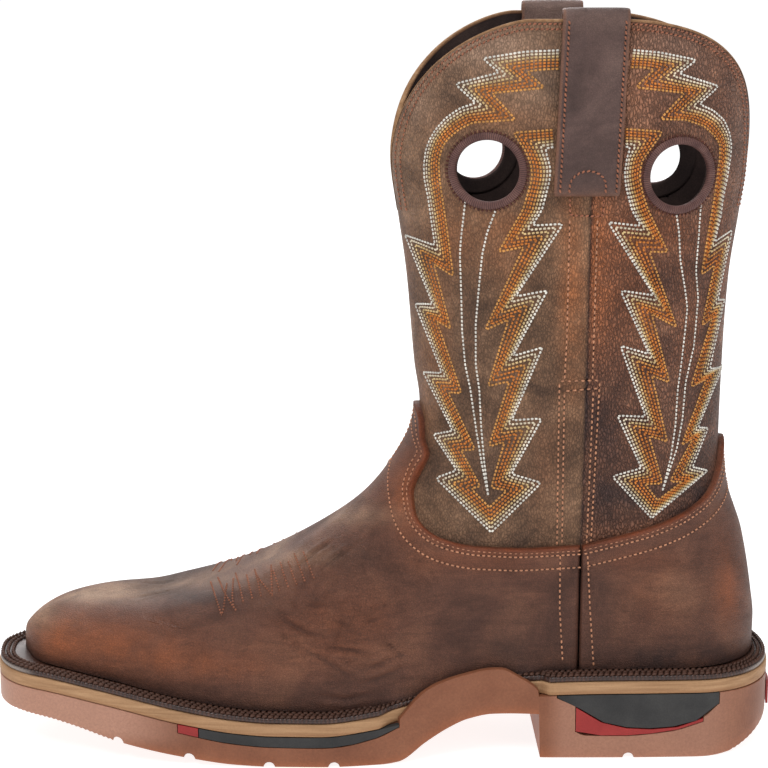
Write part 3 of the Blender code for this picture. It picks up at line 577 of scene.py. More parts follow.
evenly = (1.0, 1.0, 1.0)
alongBoot = (0.3, 0.3, 1.3)
upBoot = (1.2, 1.2, 0.6)
commonLeather = {
    "draw": evenly, "grainDraw": evenly, "grainWarp": 0.0004, "creaseWidth": 0.2, "wrinkleScale": 90.0,
    "coatRough": 0.4,
}
leatherLooks = {
    "frontShaft": {
        "tones": {
            "dark": (88, 64, 48), "mid": (122, 90, 67), "light": (150, 114, 87), "warm": (170, 104, 62),
            "deep": (72, 53, 45), "pale": (172, 140, 118), "edge": (150, 116, 82),
        },
        "mottleScale": 52.0, "streakScale": 260.0, "fleck": 0.24,
        "grainScale": 880.0, "grainDraw": upBoot, "grainWarp": 0.0006,
        "creaseWidth": 0.22, "creaseShade": 0.58, "poreShade": 0.26,
        "pebble": 0.8, "pore": 0.4, "bump": 0.6,
        "rough": 0.58, "shine": 0.24, "coat": 0.03,
    },
    "rearShaft": {
        "tones": {
            "dark": (88, 57, 44), "mid": (124, 82, 62), "light": (156, 108, 82), "warm": (178, 106, 64),
            "deep": (64, 45, 42), "pale": (168, 130, 110), "edge": (150, 116, 82),
        },
        "mottleScale": 48.0, "streakScale": 220.0, "fleck": 0.26,
        "grainScale": 800.0, "grainDraw": upBoot, "grainWarp": 0.0008,
        "creaseWidth": 0.24, "creaseShade": 0.46, "poreShade": 0.28,
        "pebble": 1.1, "pore": 0.4, "bump": 0.85,
        "rough": 0.55, "shine": 0.26, "coat": 0.04,
    },
    "vamp": {
        "tones": {
            "dark": (78, 49, 38), "mid": (98, 63, 49), "light": (118, 78, 59), "warm": (156, 86, 48),
            "deep": (58, 38, 33), "pale": (190, 156, 128), "edge": (122, 60, 32),
        },
        "mottleScale": 34.0, "streakScale": 240.0, "draw": alongBoot, "fleck": 0.24,
        "grainScale": 1100.0, "creaseShade": 0.72, "poreShade": 0.22,
        "wrinkleScale": 170.0, "pebble": 0.4, "pore": 0.6, "bump": 0.6,
        "rough": 0.54, "shine": 0.24, "coat": 0.03, "coatRough": 0.42,
    },
    "strap": {
        "tones": {
            "dark": (70, 52, 48), "mid": (88, 67, 62), "light": (106, 83, 76), "warm": (112, 78, 62),
            "deep": (58, 42, 40), "pale": (134, 108, 98), "edge": (124, 84, 64),
        },
        "mottleScale": 40.0, "streakScale": 220.0, "fleck": 0.09,
        "grainScale": 1200.0, "creaseShade": 0.8, "poreShade": 0.18,
        "wrinkleScale": 110.0, "pebble": 0.3, "pore": 0.5, "bump": 0.35,
        "rough": 0.52, "shine": 0.26, "coat": 0.05,
    },
    "lining": {
        "tones": {
            "dark": (40, 29, 28), "mid": (52, 39, 36), "light": (66, 51, 46), "warm": (60, 44, 36),
            "deep": (22, 17, 17), "pale": (70, 56, 48), "edge": (60, 46, 38),
        },
        "mottleScale": 40.0, "streakScale": 220.0, "fleck": 0.1,
        "grainScale": 900.0, "creaseShade": 0.85, "poreShade": 0.2,
        "pebble": 0.2, "pore": 0.6, "bump": 0.3,
        "rough": 0.75, "shine": 0.2, "coat": 0.0,
    },
}
leathers = {name: leather(name, {**commonLeather, **look}) for name, look in leatherLooks.items()}


plainMix = {"relief": 0.0003, "gloss": 0.06, "coatRough": 0.3}


def plainStuff(name, look):
    # smooth stuff such as rubber, board or binding: speckle, soft mottle and a fine skin
    material, tree, shader = newMaterial(name)
    shade = {tone: paint(*levels) for tone, levels in look["tones"].items()}
    place = wire(tree, "ShaderNodeTexCoord").outputs["Object"]
    broad = noise(tree, mapped(tree, place, look["stretch"]), look["mottleScale"], 5.0, 0.6)
    colour = ramp(tree, broad, [(0.3, shade["dark"]), (0.5, shade["mid"]), (0.7, shade["light"])])
    # tones painted on the piece: deep is mostly painted shade in hollows and low places, pale is a painted
    # sheen
    for tone in ("deep", "pale"):
        colour = mixColour(tree, painted(tree, tone), colour, shade[tone])
    grit = noise(tree, place, look["gritScale"], 3.0, 0.65)
    colour = shaded(tree, colour, spread(tree, grit, 0.3, 0.7, 1 - look["fleck"], 1 + look["fleck"]))
    gloss = plainMix["gloss"]
    settings = {
        "Roughness": spread(tree, broad, 0.3, 0.7, look["rough"] + gloss, look["rough"] - gloss),
        "Specular IOR Level": look["shine"], "Coat Weight": look["coat"],
        "Coat Roughness": plainMix["coatRough"],
    }
    surface(tree, shader, colour, grit, look["bump"], plainMix["relief"], settings)
    return material


lengthwise = (0.12, 0.5, 3.0)
commonStuff = {"stretch": evenly, "shine": 0.25, "coat": 0.0}
stuffLooks = {
    "caramelRubber": {
        "tones": {
            "dark": (114, 68, 46), "mid": (126, 77, 53), "light": (138, 88, 62),
            "deep": (170, 96, 56), "pale": (176, 132, 112),
        },
        "mottleScale": 34.0, "gritScale": 1100.0, "fleck": 0.12, "bump": 0.22,
        "rough": 0.5, "shine": 0.3, "coat": 0.04,
    },
    "charcoalRubber": {
        "tones": {
            "dark": (43, 43, 43), "mid": (51, 50, 50), "light": (59, 58, 57),
            "deep": (40, 41, 44), "pale": (96, 96, 98),
        },
        "mottleScale": 60.0, "gritScale": 1500.0, "fleck": 0.12, "bump": 0.25, "rough": 0.58,
    },
    "redRubber": {
        "tones": {
            "dark": (127, 34, 33), "mid": (142, 38, 36), "light": (156, 46, 42),
            "deep": (120, 30, 32), "pale": (196, 84, 80),
        },
        "mottleScale": 60.0, "gritScale": 1500.0, "fleck": 0.08, "bump": 0.15,
        "rough": 0.5, "shine": 0.3, "coat": 0.03,
    },
    "tanMidsole": {
        "tones": {
            "dark": (142, 107, 76), "mid": (161, 124, 90), "light": (178, 140, 104),
            "deep": (142, 96, 62), "pale": (206, 176, 142),
        },
        "stretch": lengthwise, "mottleScale": 240.0, "gritScale": 1300.0,
        "fleck": 0.07, "bump": 0.18, "rough": 0.62,
    },
    "welt": {
        "tones": {
            "dark": (52, 32, 26), "mid": (66, 41, 33), "light": (84, 54, 42),
            "deep": (34, 21, 18), "pale": (160, 148, 140),
        },
        "mottleScale": 160.0, "gritScale": 1500.0, "fleck": 0.2, "bump": 0.35,
        "rough": 0.42, "shine": 0.4, "coat": 0.2,
    },
    "binding": {
        "tones": {
            "dark": (84, 57, 54), "mid": (102, 71, 66), "light": (120, 86, 78),
            "deep": (54, 35, 34), "pale": (134, 100, 92),
        },
        "mottleScale": 160.0, "gritScale": 2000.0, "fleck": 0.14, "bump": 0.3, "rough": 0.6,
    },
    "rawEdge": {
        "tones": {
            "dark": (120, 88, 62), "mid": (150, 114, 82), "light": (174, 138, 104),
            "deep": (92, 62, 44), "pale": (190, 160, 128),
        },
        "mottleScale": 300.0, "gritScale": 2600.0, "fleck": 0.16, "bump": 0.35,
        "rough": 0.8, "shine": 0.2,
    },
    "insoleBoard": {
        "tones": {
            "dark": (104, 82, 60), "mid": (122, 98, 72), "light": (138, 112, 84),
            "deep": (90, 70, 50), "pale": (150, 126, 100),
        },
        "mottleScale": 80.0, "gritScale": 1600.0, "fleck": 0.12, "bump": 0.3,
        "rough": 0.8, "shine": 0.2,
    },
}
stuffs = {name: plainStuff(name, {**commonStuff, **look}) for name, look in stuffLooks.items()}

threadColours = {
    "white": (246, 242, 232), "ivory": (240, 226, 200), "straw": (228, 198, 144), "amber": (226, 162, 88),
    "orange": (216, 132, 58), "copper": (206, 146, 112), "russet": (166, 106, 80), "rust": (92, 50, 42),
    "hole": (30, 18, 14), "weltThread": (84, 55, 43),
}


threadMix = {
    "twistScale": 2600.0, "wearScale": 220.0, "wornShade": 0.8, "bump": 0.4, "relief": 0.0002,
    "rough": 0.55, "shine": 0.3,
}


def threadStuff(name, colour):
    material, tree, shader = newMaterial(name + "Thread")
    place = wire(tree, "ShaderNodeTexCoord").outputs["Object"]
    twist = noise(tree, place, threadMix["twistScale"], 2.0, 0.5)
    wear = noise(tree, place, threadMix["wearScale"], 4.0, 0.6)
    worn = paint(*[level * threadMix["wornShade"] for level in colour])
    dyed = mixColour(tree, spread(tree, wear, 0.35, 0.65, 0.0, 1.0), worn, paint(*colour))
    dyed = shaded(tree, dyed, spread(tree, twist, 0.3, 0.7, 0.86, 1.1))
    settings = {"Roughness": threadMix["rough"], "Specular IOR Level": threadMix["shine"]}
    surface(tree, shader, dyed, twist, threadMix["bump"], threadMix["relief"], settings)
    return material


threads = {name: threadStuff(name, colour) for name, colour in threadColours.items()}
print("materials ready")


# Meshes

def addPiece(name, points, faces, material):
    mesh = bpy.data.meshes.new(name)
    mesh.from_pydata((np.asarray(points).reshape(-1, 3) * mm).tolist(), [], faces)
    mesh.materials.append(material)
    mesh.shade_smooth()
    piece = bpy.data.objects.new(name, mesh)
    bpy.context.scene.collection.objects.link(piece)
    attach(piece, "root")
    return piece


def dropLoose(piece):
    # leaves out the grid points that no face uses
    mesh = bmesh.new()
    mesh.from_mesh(piece.data)
    loose = [point for point in mesh.verts if not point.link_faces]
    bmesh.ops.delete(mesh, geom=loose, context="VERTS")
    mesh.to_mesh(piece.data)
    mesh.free()


def paintPoints(piece, **layers):
    for name, values in layers.items():
        layer = piece.data.attributes.new(name, "FLOAT", "POINT")
        layer.data.foreach_set("value", np.ravel(values).astype(np.float32))


def gridFaces(rows, columns, closed=False, flip=False, keep=None, wrapped=False):
    # faces look along columns crossed with rows; wrapped grids close both ways
    count = columns if closed or wrapped else columns - 1
    bands = rows if wrapped else rows - 1
    row, column = np.meshgrid(np.arange(bands), np.arange(count), indexing="ij")
    beside = (column + 1) % columns
    above = (row + 1) % rows
    here = row * columns + column
    over = above * columns + column
    corners = [here, over, above * columns + beside, row * columns + beside]
    faces = np.stack(corners if flip else corners[::-1], axis=-1)
    if keep is not None:
        faces = faces[keep]
    return faces.reshape(-1, 4).tolist()


def gridNormals(grid, closed=False):
    if closed:
        across = np.roll(grid, -1, axis=1) - np.roll(grid, 1, axis=1)
    else:
        across = np.gradient(grid, axis=1)
    up = np.gradient(grid, axis=0)
    return unit(np.cross(across, up))


# Shaft: front and rear panels, rim and lining

shaft = {
    "columns": 84, "rows": 100, "tuck": 0.022, "holeCut": 13.6, "liningCut": 16.0,
    "seamDepth": 0.6, "seamHalf": 0.8, "seamDark": 0.7, "seamShade": 0.8, "seamTurns": (0.005, 0.01, 0.016),
    "liningColumns": 48, "liningRows": 56, "shadeFrom": 190.0, "shadeFade": 120.0,
}
# tones of the shaft panels: warm glow of the leather, deep darker patches that are partly painted shade, pale
# a painted sheen towards the top
shaftTones = {
    "shaft_front": {
        "warm": [
            (572, 290, 14, 90, 0.75), (505, 240, 26, 40, 0.4), (455, 225, 22, 40, 0.35),
            (400, 290, 14, 60, 0.35), (418, 400, 14, 50, 0.3), (545, 470, 16, 50, 0.25),
            (500, 120, 60, 16, 0.25), (440, 330, 12, 60, 0.3),
        ],
        "deep": [
            (470, 340, 20, 60, 0.4), (500, 400, 22, 60, 0.25), (430, 470, 20, 30, 0.3),
            (545, 400, 14, 40, 0.3), (480, 200, 60, 14, 0.2), (490, 548, 90, 14, 0.4),
            (500, 480, 90, 50, 0.42),
        ],
        "pale": [
            (480, 45, 70, 16, 0.5), (415, 95, 22, 35, 0.5), (535, 90, 25, 40, 0.25), (490, 60, 90, 40, 0.3),
        ],
    },
    "shaft_rear": {
        "warm": [
            (596, 260, 18, 110, 0.9), (630, 300, 20, 60, 0.3), (660, 230, 40, 30, 0.4),
            (690, 330, 14, 60, 0.3), (725, 260, 10, 60, 0.4), (640, 90, 30, 20, 0.3),
        ],
        "deep": [
            (600, 430, 22, 70, 0.8), (640, 500, 60, 26, 0.7), (690, 430, 22, 60, 0.5),
            (705, 500, 20, 30, 0.6), (645, 380, 18, 40, 0.4), (690, 200, 20, 16, 0.3),
        ],
        "pale": [(680, 42, 50, 14, 0.45), (738, 130, 12, 50, 0.3), (670, 80, 60, 40, 0.35)],
    },
}


def holeDistance(x, z):
    return np.min([np.hypot(x - holeX, z - holeZ) for holeX, holeZ in pullHoles.values()], axis=0)


def holeRing(side, where, radius, angle):
    # wall points on a circle round a pull hole, with their outward directions
    holeX, holeZ = pullHoles[where]
    turn, place = findOnWall(holeX + radius * np.cos(angle), holeZ + radius * np.sin(angle), side)
    return wallFrame(turn, place)


def openFaces(grid, radius):
    # faces of a closed grid that lie in a pull hole
    away = holeDistance(grid[..., 0], grid[..., 2])
    beside = np.roll(away, -1, axis=1)
    return (away[:-1] + away[1:] + beside[:-1] + beside[1:]) / 4 < radius


def shaftTurns():
    quarter = np.linspace(0, 1, shaft["columns"] + 1)
    seam = np.outer((-1.0, 1.0), shaft["seamTurns"]).ravel()
    turns = np.concatenate([quarter, quarter + 1, quarter + 2, quarter[:-1] + 3, seam + 1, seam + 3])
    turns = offRidge(np.unique(turns))
    return turns[turns < 4.0]


def makeShaft():
    turns = shaftTurns()
    columns = foldTurn(turns)
    low = edgePlaces(overlayTop, columns) - shaft["tuck"]
    high = edgePlaces(collarTop, columns)
    share = np.linspace(0, 1, shaft["rows"] + 1)[:, None]
    places = low + (high - low) * share
    grid = wallAt(np.broadcast_to(turns, places.shape), places)
    normal = gridNormals(grid, closed=True)
    fromSeam = np.abs(grid[..., 0] - boot["seam"])
    groove = -shaft["seamDepth"] * np.exp(-((fromSeam / shaft["seamHalf"]) ** 2))
    grid = grid + normal * groove[..., None]
    closedFaces = ~openFaces(grid, shaft["holeCut"])
    x = (grid[:-1, :, 0] + np.roll(grid, -1, axis=1)[:-1, :, 0]) / 2
    seamDark = np.exp(-((fromSeam / shaft["seamDark"]) ** 2)) * shaft["seamShade"]
    for name, panel in (("shaft_front", x < boot["seam"]), ("shaft_rear", x >= boot["seam"])):
        faces = gridFaces(*places.shape, closed=True, keep=panel & closedFaces)
        finish = leathers["frontShaft" if name == "shaft_front" else "rearShaft"]
        piece = addPiece(name, grid, faces, finish)
        tones = {tone: patched(grid, patches) for tone, patches in shaftTones[name].items()}
        tones["deep"] = np.clip(tones["deep"] + seamDark, 0, 1)
        paintPoints(piece, **tones)
        dropLoose(piece)
        if name == "shaft_front":
            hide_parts("upper")
    return turns, high


# section of the collar's rim: out from the wall, up from the collar, and how much painted shade it takes
rimSection = [
    (0.15, -0.7, 0.5), (0.12, -0.1, 0.2), (-0.35, 0.28, 0.0), (-1.1, 0.36, 0.0), (-1.85, 0.28, 0.1),
    (-2.3, -0.1, 0.6), (-2.3, -0.9, 1.0),
]


def makeCollarRim(turns, high):
    top, normal = wallFrame(turns, high)
    rim = np.array([top + normal * out + np.array([0.0, 0.0, rise]) for out, rise, dark in rimSection])
    faces = gridFaces(*rim.shape[:2], closed=True)
    piece = addPiece("collar_rim", rim, faces, stuffs["rawEdge"])
    tone = np.array([dark for out, rise, dark in rimSection])
    paintPoints(piece, deep=np.broadcast_to(tone[:, None], rim.shape[:2]))


def makeLining():
    turns = offRidge(np.arange(4 * shaft["liningColumns"]) / shaft["liningColumns"])
    turns = turns[turns < 4.0]
    high = edgePlaces(collarTop, foldTurn(turns))
    share = np.linspace(0, 1, shaft["liningRows"] + 1)[:, None]
    places = lowPlace + (high - lowPlace) * share
    grid = wallAt(np.broadcast_to(turns, places.shape), places)
    grid = grid - gridNormals(grid, closed=True) * boot["wall"]
    faces = gridFaces(*places.shape, closed=True, flip=True, keep=~openFaces(grid, shaft["liningCut"]))
    piece = addPiece("lining", grid, faces, leathers["lining"])
    paintPoints(piece, deep=fade((shaft["shadeFrom"] - grid[..., 2]) / shaft["shadeFade"]))
    dropLoose(piece)


shaftTurnList, collarPlaceList = makeShaft()
makeCollarRim(shaftTurnList, collarPlaceList)
makeLining()
print("shaft ready")


# Lines drawn on the boot

def bootRow(xz, side, out):
    # dense points and outward directions of a side-view line on the wall
    xz = np.array(xz, float)
    run = np.concatenate([[0.0], np.cumsum(np.hypot(*np.diff(xz, axis=0).T))])
    dense = np.linspace(0, run[-1], max(3, int(run[-1])))
    x = np.interp(dense, run, xz[:, 0])
    z = np.interp(dense, run, xz[:, 1])
    turn, place = findOnWall(x, z, side)
    point, normal = wallFrame(turn, place)
    return point + normal * out, normal


def densify(pixels, step=8):
    # more points along straight legs, so that they follow the wall
    pixels = np.array(pixels, float)
    found = [pixels[:1]]
    for start, end in zip(pixels[:-1], pixels[1:]):
        count = max(1, int(np.hypot(*(end - start)) / step))
        found.append(start + (end - start) * (np.arange(1, count + 1) / count)[:, None])
    return np.concatenate(found)


def castRows(tree, pixels):
    # a charted line where the camera meets a surface, and the same line on the far side
    rows = {side: [] for side in sideSign}
    eye = Vector(photo["place"])
    for ray in pixelRays(densify(pixels, photo["castStep"])):
        spot, normal = tree.ray_cast(eye, Vector(ray))[:2]
        if spot is None:
            continue
        if normal.dot(Vector(ray)) > 0:
            normal = -normal
        rows["lateral"].append((spot, normal))
        away = Vector((normal.x, -normal.y, normal.z))
        across = Vector((spot.x, 2 * float(middleY(spot.x, spot.z)) - spot.y, spot.z))
        farSpot = tree.ray_cast(across + away * photo["castFrom"], -away)[0]
        if farSpot is not None:
            rows["medial"].append((farSpot, away))
    found = [np.array(row) for row in rows.values() if len(row) > 1]
    return [(row[:, 0], row[:, 1]) for row in found]


def nearLine(points, line, reach=9.0):
    # distance of points from a drawn line, and how far along it the nearest spot is
    flat = points.reshape(-1, 3)
    away = np.full(len(flat), 99.0)
    share = np.zeros(len(flat))
    close = np.all((flat > line.min(axis=0) - reach) & (flat < line.max(axis=0) + reach), axis=1)
    index = np.nonzero(close)[0]
    for part in np.array_split(index, len(index) // fineness["chunk"] + 1):
        gap = np.linalg.norm(flat[part, None] - line[None], axis=-1)
        nearest = gap.argmin(axis=1)
        away[part] = gap[np.arange(len(part)), nearest]
        share[part] = nearest / (len(line) - 1)
    return away.reshape(points.shape[:-1]), share.reshape(points.shape[:-1])


# Vamp and counter: overlays with rolled, burnished edges and creases pressed in

overlay = {
    "vampColumns": 200, "counterColumns": 96, "rows": 136, "growth": 1.3, "endGap": 0.3,
    "bead": 0.5, "beadAt": 1.0, "beadHalf": 0.9, "burnish": 1.7, "burnishShade": 0.9,
    "featherDark": 3.0, "featherShade": 0.8,
    "creaseDeep": 1.3, "creaseHalf": 0.8, "creaseDark": 0.7, "creaseTaper": 0.6,
    "ridge": 0.5, "ridgeAt": 2.1, "ridgeHalf": 1.1,
    "crownColumns": 40, "crownRise": 0.38, "crownLeast": 0.02, "crownProbe": 0.3, "crownPower": (2.0, 6.0),
    "softPull": 0.5, "softRounds": 14, "softEnd": -95.0, "softFade": 15.0,
    "jump": 0.004, "jumpReach": 5, "crownTurn": 0.1,
    "seamSteps": (0.0, 0.0006, 0.002, 0.004, 0.0065), "bodyFrom": 0.01, "bodyTop": 0.991,
    "seamFade": 0.006, "seamLeast": 0.0004, "endReach": 0.02,
    # rows of the upper edge: share of the height, share of the thickness
    "edgeRows": [(0.9945, 1.0), (0.997, 1.0), (0.9985, 0.96), (0.9993, 0.82), (0.9998, 0.5), (1.0, 0.02)],
}
# tones of the vamp and counter: warm glow of the leather, deep darker patches that are partly painted shade,
# pale a painted sheen over the toe, and flex where wrinkles are drawn
overlayTones = {
    "vamp_leather": {
        "warm": [
            (115, 645, 80, 26, 0.55), (55, 632, 30, 26, 0.4), (210, 668, 70, 16, 0.35),
            (410, 495, 22, 40, 0.55), (340, 625, 70, 40, 0.25), (470, 560, 60, 14, 0.25),
        ],
        "deep": [
            (215, 598, 80, 14, 0.5), (345, 550, 60, 16, 0.2), (500, 640, 80, 40, 0.62),
            (300, 690, 120, 14, 0.3), (170, 592, 40, 8, 0.4), (560, 600, 14, 60, 0.3),
        ],
        "pale": [
            (85, 590, 55, 10, 0.85), (150, 578, 70, 8, 0.7), (40, 612, 16, 16, 0.5), (260, 556, 60, 9, 0.4),
            (345, 515, 50, 10, 0.3),
        ],
        "flex": [
            (330, 625, 90, 45, 0.32), (350, 560, 60, 30, 0.3), (420, 560, 30, 30, 0.25),
            (150, 592, 60, 8, 0.3),
        ],
    },
    "counter_leather": {
        "warm": [(668, 592, 34, 26, 0.35), (728, 585, 14, 40, 0.6), (640, 560, 40, 14, 0.2)],
        "deep": [
            (660, 655, 80, 14, 0.7), (668, 600, 60, 40, 0.2), (600, 610, 16, 60, 0.45),
            (700, 640, 30, 20, 0.3),
        ],
        "pale": [(676, 590, 24, 20, 0.15)],
        "flex": [(640, 600, 60, 40, 0.25)],
    },
}
# creases on the photograph, each with its depth and half-width in millimetres
creases = [
    (0.75, 1.5, [(275.4, 610.3), (286.3, 621.1), (297.1, 627.6), (306.9, 632.5), (322, 635.8)]),
    (0.5, 1.2, [(302.5, 603.8), (315.5, 606), (330.7, 606)]),
    (0.45, 1.2, [(289.5, 600.5), (297.1, 609.2)]),
    (0.4, 1.1, [(321, 599.5), (334, 601.6)]),
    (0.4, 1.1, [(324.2, 596.2), (336.1, 596.7)]),
    (0.5, 1.3, [(367.6, 608.1), (379.5, 608.1), (388.2, 603.8)]),
    (0.5, 1.3, [(361.1, 620), (369.7, 621.1), (380.6, 619)]),
    (0.6, 1.5, [(328.5, 647.2), (339.4, 649.3), (352.4, 650.4), (365.4, 653.1), (374.1, 653.7)]),
    (0.5, 1.3, [(340.5, 656.9), (345.9, 662.3), (352.4, 665)]),
    (0.5, 1.4, [(360, 674.3), (370.8, 669.9), (378.4, 666.7), (388.2, 664.5)]),
    (0.5, 1.4, [(381.7, 639.6), (389.3, 645), (397.9, 652.6), (405.5, 659.1)]),
    (0.45, 1.3, [(291.7, 640.6), (299.3, 648.2)]),
    (0.45, 1.3, [(279.8, 633.1), (288.4, 640.6)]),
    (0.4, 1.2, [(424, 576.7), (429.4, 586.4)]),
    (0.4, 1.2, [(431.5, 571.3), (435.9, 581)]),
    (0.45, 1.3, [(337.2, 620), (345.9, 624.4)]),
    (0.5, 1.5, [(134.3, 598.4), (152, 594.8), (171.8, 590.4)]),
    (0.6, 1.6, [(301, 648.6), (321.6, 658.9), (342, 671.7), (355.8, 682.7)]),
    (0.5, 1.5, [(352.4, 670.8), (378, 664), (407, 653.7)]),
    (0.5, 1.5, [(355.8, 687.9), (381.4, 677.6), (410.4, 665.7)]),
    (0.4, 1.5, [(314.8, 696.4), (347, 699.8), (372.8, 693)]),
    (0.5, 1.5, [(300, 566), (315, 552), (332, 541)]),
    (0.45, 1.4, [(318, 572), (334, 558), (352, 548)]),
]


def crowned(grid, turns, places):
    # the two sides of the vamp meet in a rounded crown along the front line
    ridge = int(np.argmin(np.abs(turns)))
    near = grid[:, ridge]
    far = grid[:, ridge + 1]
    count = overlay["crownColumns"]
    share = (np.arange(count) + 1) / (count + 1)
    toLine = linePoints(frontLine, places[:, ridge])[:, 1] - near[:, 2]
    rise = np.clip(overlay["crownRise"] * toLine, overlay["crownLeast"], None)
    probe = overlay["crownProbe"]
    below = wallY(near[:, 0], near[:, 2] - probe, np.zeros(len(near), bool))
    slope = probe / np.maximum(near[:, 1] - below, probe)
    power = np.clip(slope * (far[:, 1] - near[:, 1]) / (2 * rise), *overlay["crownPower"])
    lift = rise[:, None] * (1 - np.abs(2 * share - 1) ** power[:, None])
    crown = near[:, None] + (far - near)[:, None] * share[:, None]
    crown[..., 2] += lift
    between = turns[ridge] + (turns[ridge + 1] - turns[ridge]) * share
    grid = np.concatenate([grid[:, :ridge + 1], crown, grid[:, ridge + 1:]], axis=1)
    return grid, np.concatenate([turns[:ridge + 1], between, turns[ridge + 1:]])


def softened(grid):
    # evens out the toe box
    inner = grid[1:-1, 1:-1, 0]
    soft = overlay["softPull"] * fade((overlay["softEnd"] - inner) / overlay["softFade"])[..., None]
    for _ in range(overlay["softRounds"]):
        around = grid[:-2, 1:-1] + grid[2:, 1:-1] + grid[1:-1, :-2] + grid[1:-1, 2:]
        grid[1:-1, 1:-1] += soft * (around / 4 - grid[1:-1, 1:-1])
    return grid


def overlayRows():
    # rows of an overlay from its foot to its upper edge: share of the height and of the thickness
    body = np.linspace(0, 1, overlay["rows"] + 1) ** overlay["growth"] * overlay["bodyTop"]
    edge = np.array(overlay["edgeRows"])
    return np.concatenate([body, edge[:, 0]]), np.concatenate([np.ones(len(body)), edge[:, 1]])


def overlayPlaces(turns):
    top = edgePlaces(overlayTop, foldTurn(turns))
    return lowPlace + (top - lowPlace) * overlayRows()[0][:, None]


def fromEnds(turns):
    return np.minimum(np.abs(turns - turns[0]), np.abs(turns - turns[-1]))


def overlayGrid(turns, overToe):
    places = overlayPlaces(turns)
    grid = wallAt(np.broadcast_to(turns, places.shape), places)
    if overToe:
        grid, turns = crowned(grid, turns, places)
        grid = softened(grid)
    # the sheet thins to its base at both seam ends
    end = np.sqrt(np.clip(fromEnds(turns) / overlay["seamFade"], 0, 1) + overlay["seamLeast"])
    return grid, turns, overlayRows()[1][:, None] * end


def seamTurns(start, end, columns):
    fine = np.array(overlay["seamSteps"])
    sign = 1.0 if end > start else -1.0
    body = np.linspace(start + sign * overlay["bodyFrom"], end - sign * overlay["bodyFrom"], columns)
    return offRidge(np.concatenate([start + sign * fine, body, end - sign * fine[::-1]]))[:: int(sign)]


def pressCreases(grid, tree):
    # soft troughs with a low ridge beside each
    depth = np.zeros(grid.shape[:2])
    for deep, half, pixels in creases:
        for line, _ in castRows(tree, pixels):
            away, share = nearLine(grid, line)
            taper = np.sin(math.pi * np.clip(share, 0.02, 0.98)) ** overlay["creaseTaper"]
            reach = away / (half * overlay["creaseHalf"])
            ridge = overlay["ridge"] * np.exp(-(((reach - overlay["ridgeAt"]) / overlay["ridgeHalf"]) ** 2))
            depth += overlay["creaseDeep"] * deep * taper * (ridge - np.exp(-(reach ** 2)))
    return depth


def steppedColumns(turns):
    # columns beside a jump in the overlay's upper edge, apart from those of the crown
    top = edgePlaces(overlayTop, foldTurn(turns))
    jump = (np.abs(np.gradient(top)) > overlay["jump"]).astype(float)
    wide = np.convolve(jump, np.ones(2 * overlay["jumpReach"] + 1), mode="same") > 0.5
    return wide & (np.abs(turns) > overlay["crownTurn"])


def wallNormals(turns):
    places = overlayPlaces(turns)
    return wallFrame(np.broadcast_to(turns, places.shape), places)[1]


def edgeDistance(grid, edgeLine):
    points = linePoints(edgeLine, lineSteps)
    rows = [bootRow(points, side, boot["overlay"])[0] for side in sideSign]
    return np.min([nearLine(grid, row)[0] for row in rows], axis=0)


def surfaceTree(grid, flip):
    return BVHTree.FromPolygons(grid.reshape(-1, 3).tolist(), gridFaces(*grid.shape[:2], flip=flip))


def makeOverlay(name, node, turns, edgeLine, shift, overToe):
    backwards = turns[0] > turns[-1]
    grid, turns, thick = overlayGrid(turns, overToe)
    normal = gridNormals(grid) * (-1.0 if backwards else 1.0)
    stepped = steppedColumns(turns)
    normal[:, stepped] = wallNormals(turns[stepped])
    grid = grid + normal * (boot["overlay"] * thick)[..., None]
    fromEdge = edgeDistance(grid, edgeLine)
    bead = overlay["bead"] * np.exp(-(((fromEdge - overlay["beadAt"]) / overlay["beadHalf"]) ** 2))
    relief = np.where(thick > 0.9, bead, 0.0)
    dent = np.zeros(grid.shape[:2])
    if overToe:
        dent = pressCreases(grid, surfaceTree(grid, backwards))
    grid = grid + normal * (relief + dent)[..., None]
    grid[..., 0] += shift * overlay["endGap"] * np.exp(-fromEnds(turns) / overlay["endReach"])
    faces = gridFaces(*grid.shape[:2], flip=backwards)
    piece = addPiece(name, grid, faces, leathers["vamp"])
    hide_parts(node)
    tones = {tone: patched(grid, patches) for tone, patches in overlayTones[name].items()}
    # painted shade low down by the welt and in the pressed creases, added to the deep patches
    above = grid[..., 2] - feather(grid[..., 0])
    low = overlay["featherShade"] * np.exp(-np.maximum(above, 0) / overlay["featherDark"])
    tones["deep"] = np.clip(tones["deep"] + low + np.clip(-dent, 0, 1) * overlay["creaseDark"], 0, 1)
    tones["edge"] = np.exp(-((fromEdge / overlay["burnish"]) ** 2)) * overlay["burnishShade"]
    paintPoints(piece, **tones)
    return surfaceTree(grid, backwards)


vampTurns = seamTurns(1.0, -1.0, 2 * overlay["vampColumns"])
vampSurface = makeOverlay("vamp_leather", "vamp", vampTurns, vampEdge, -1.0, True)
counterTurns = seamTurns(1.0, 3.0, 2 * overlay["counterColumns"])
makeOverlay("counter_leather", "counter", counterTurns, counterEdge, 1.0, False)
print("vamp and counter ready")


# Pull straps and hole bindings

strap = {
    "width": 25.4, "thick": 2.4, "end": 229.0, "innerEnd": 252.0, "lean": 2.6, "seat": 295.6, "innerGap": 0.7,
    "across": 20, "offCentre": {"lateral": 0.6, "medial": -7.4}, "square": 5.0, "wallTop": 301.0,
    "endSteps": 2.0, "endLeast": 0.02, "endTaper": 0.4,
    "edgeBand": 11.3, "edgeFade": 0.7, "edgeShade": 0.8, "lowReach": 1.6,
    "foldReach": 5.0, "foldPale": 0.35, "innerPale": 0.6, "palest": 0.7, "flex": 0.35,
}


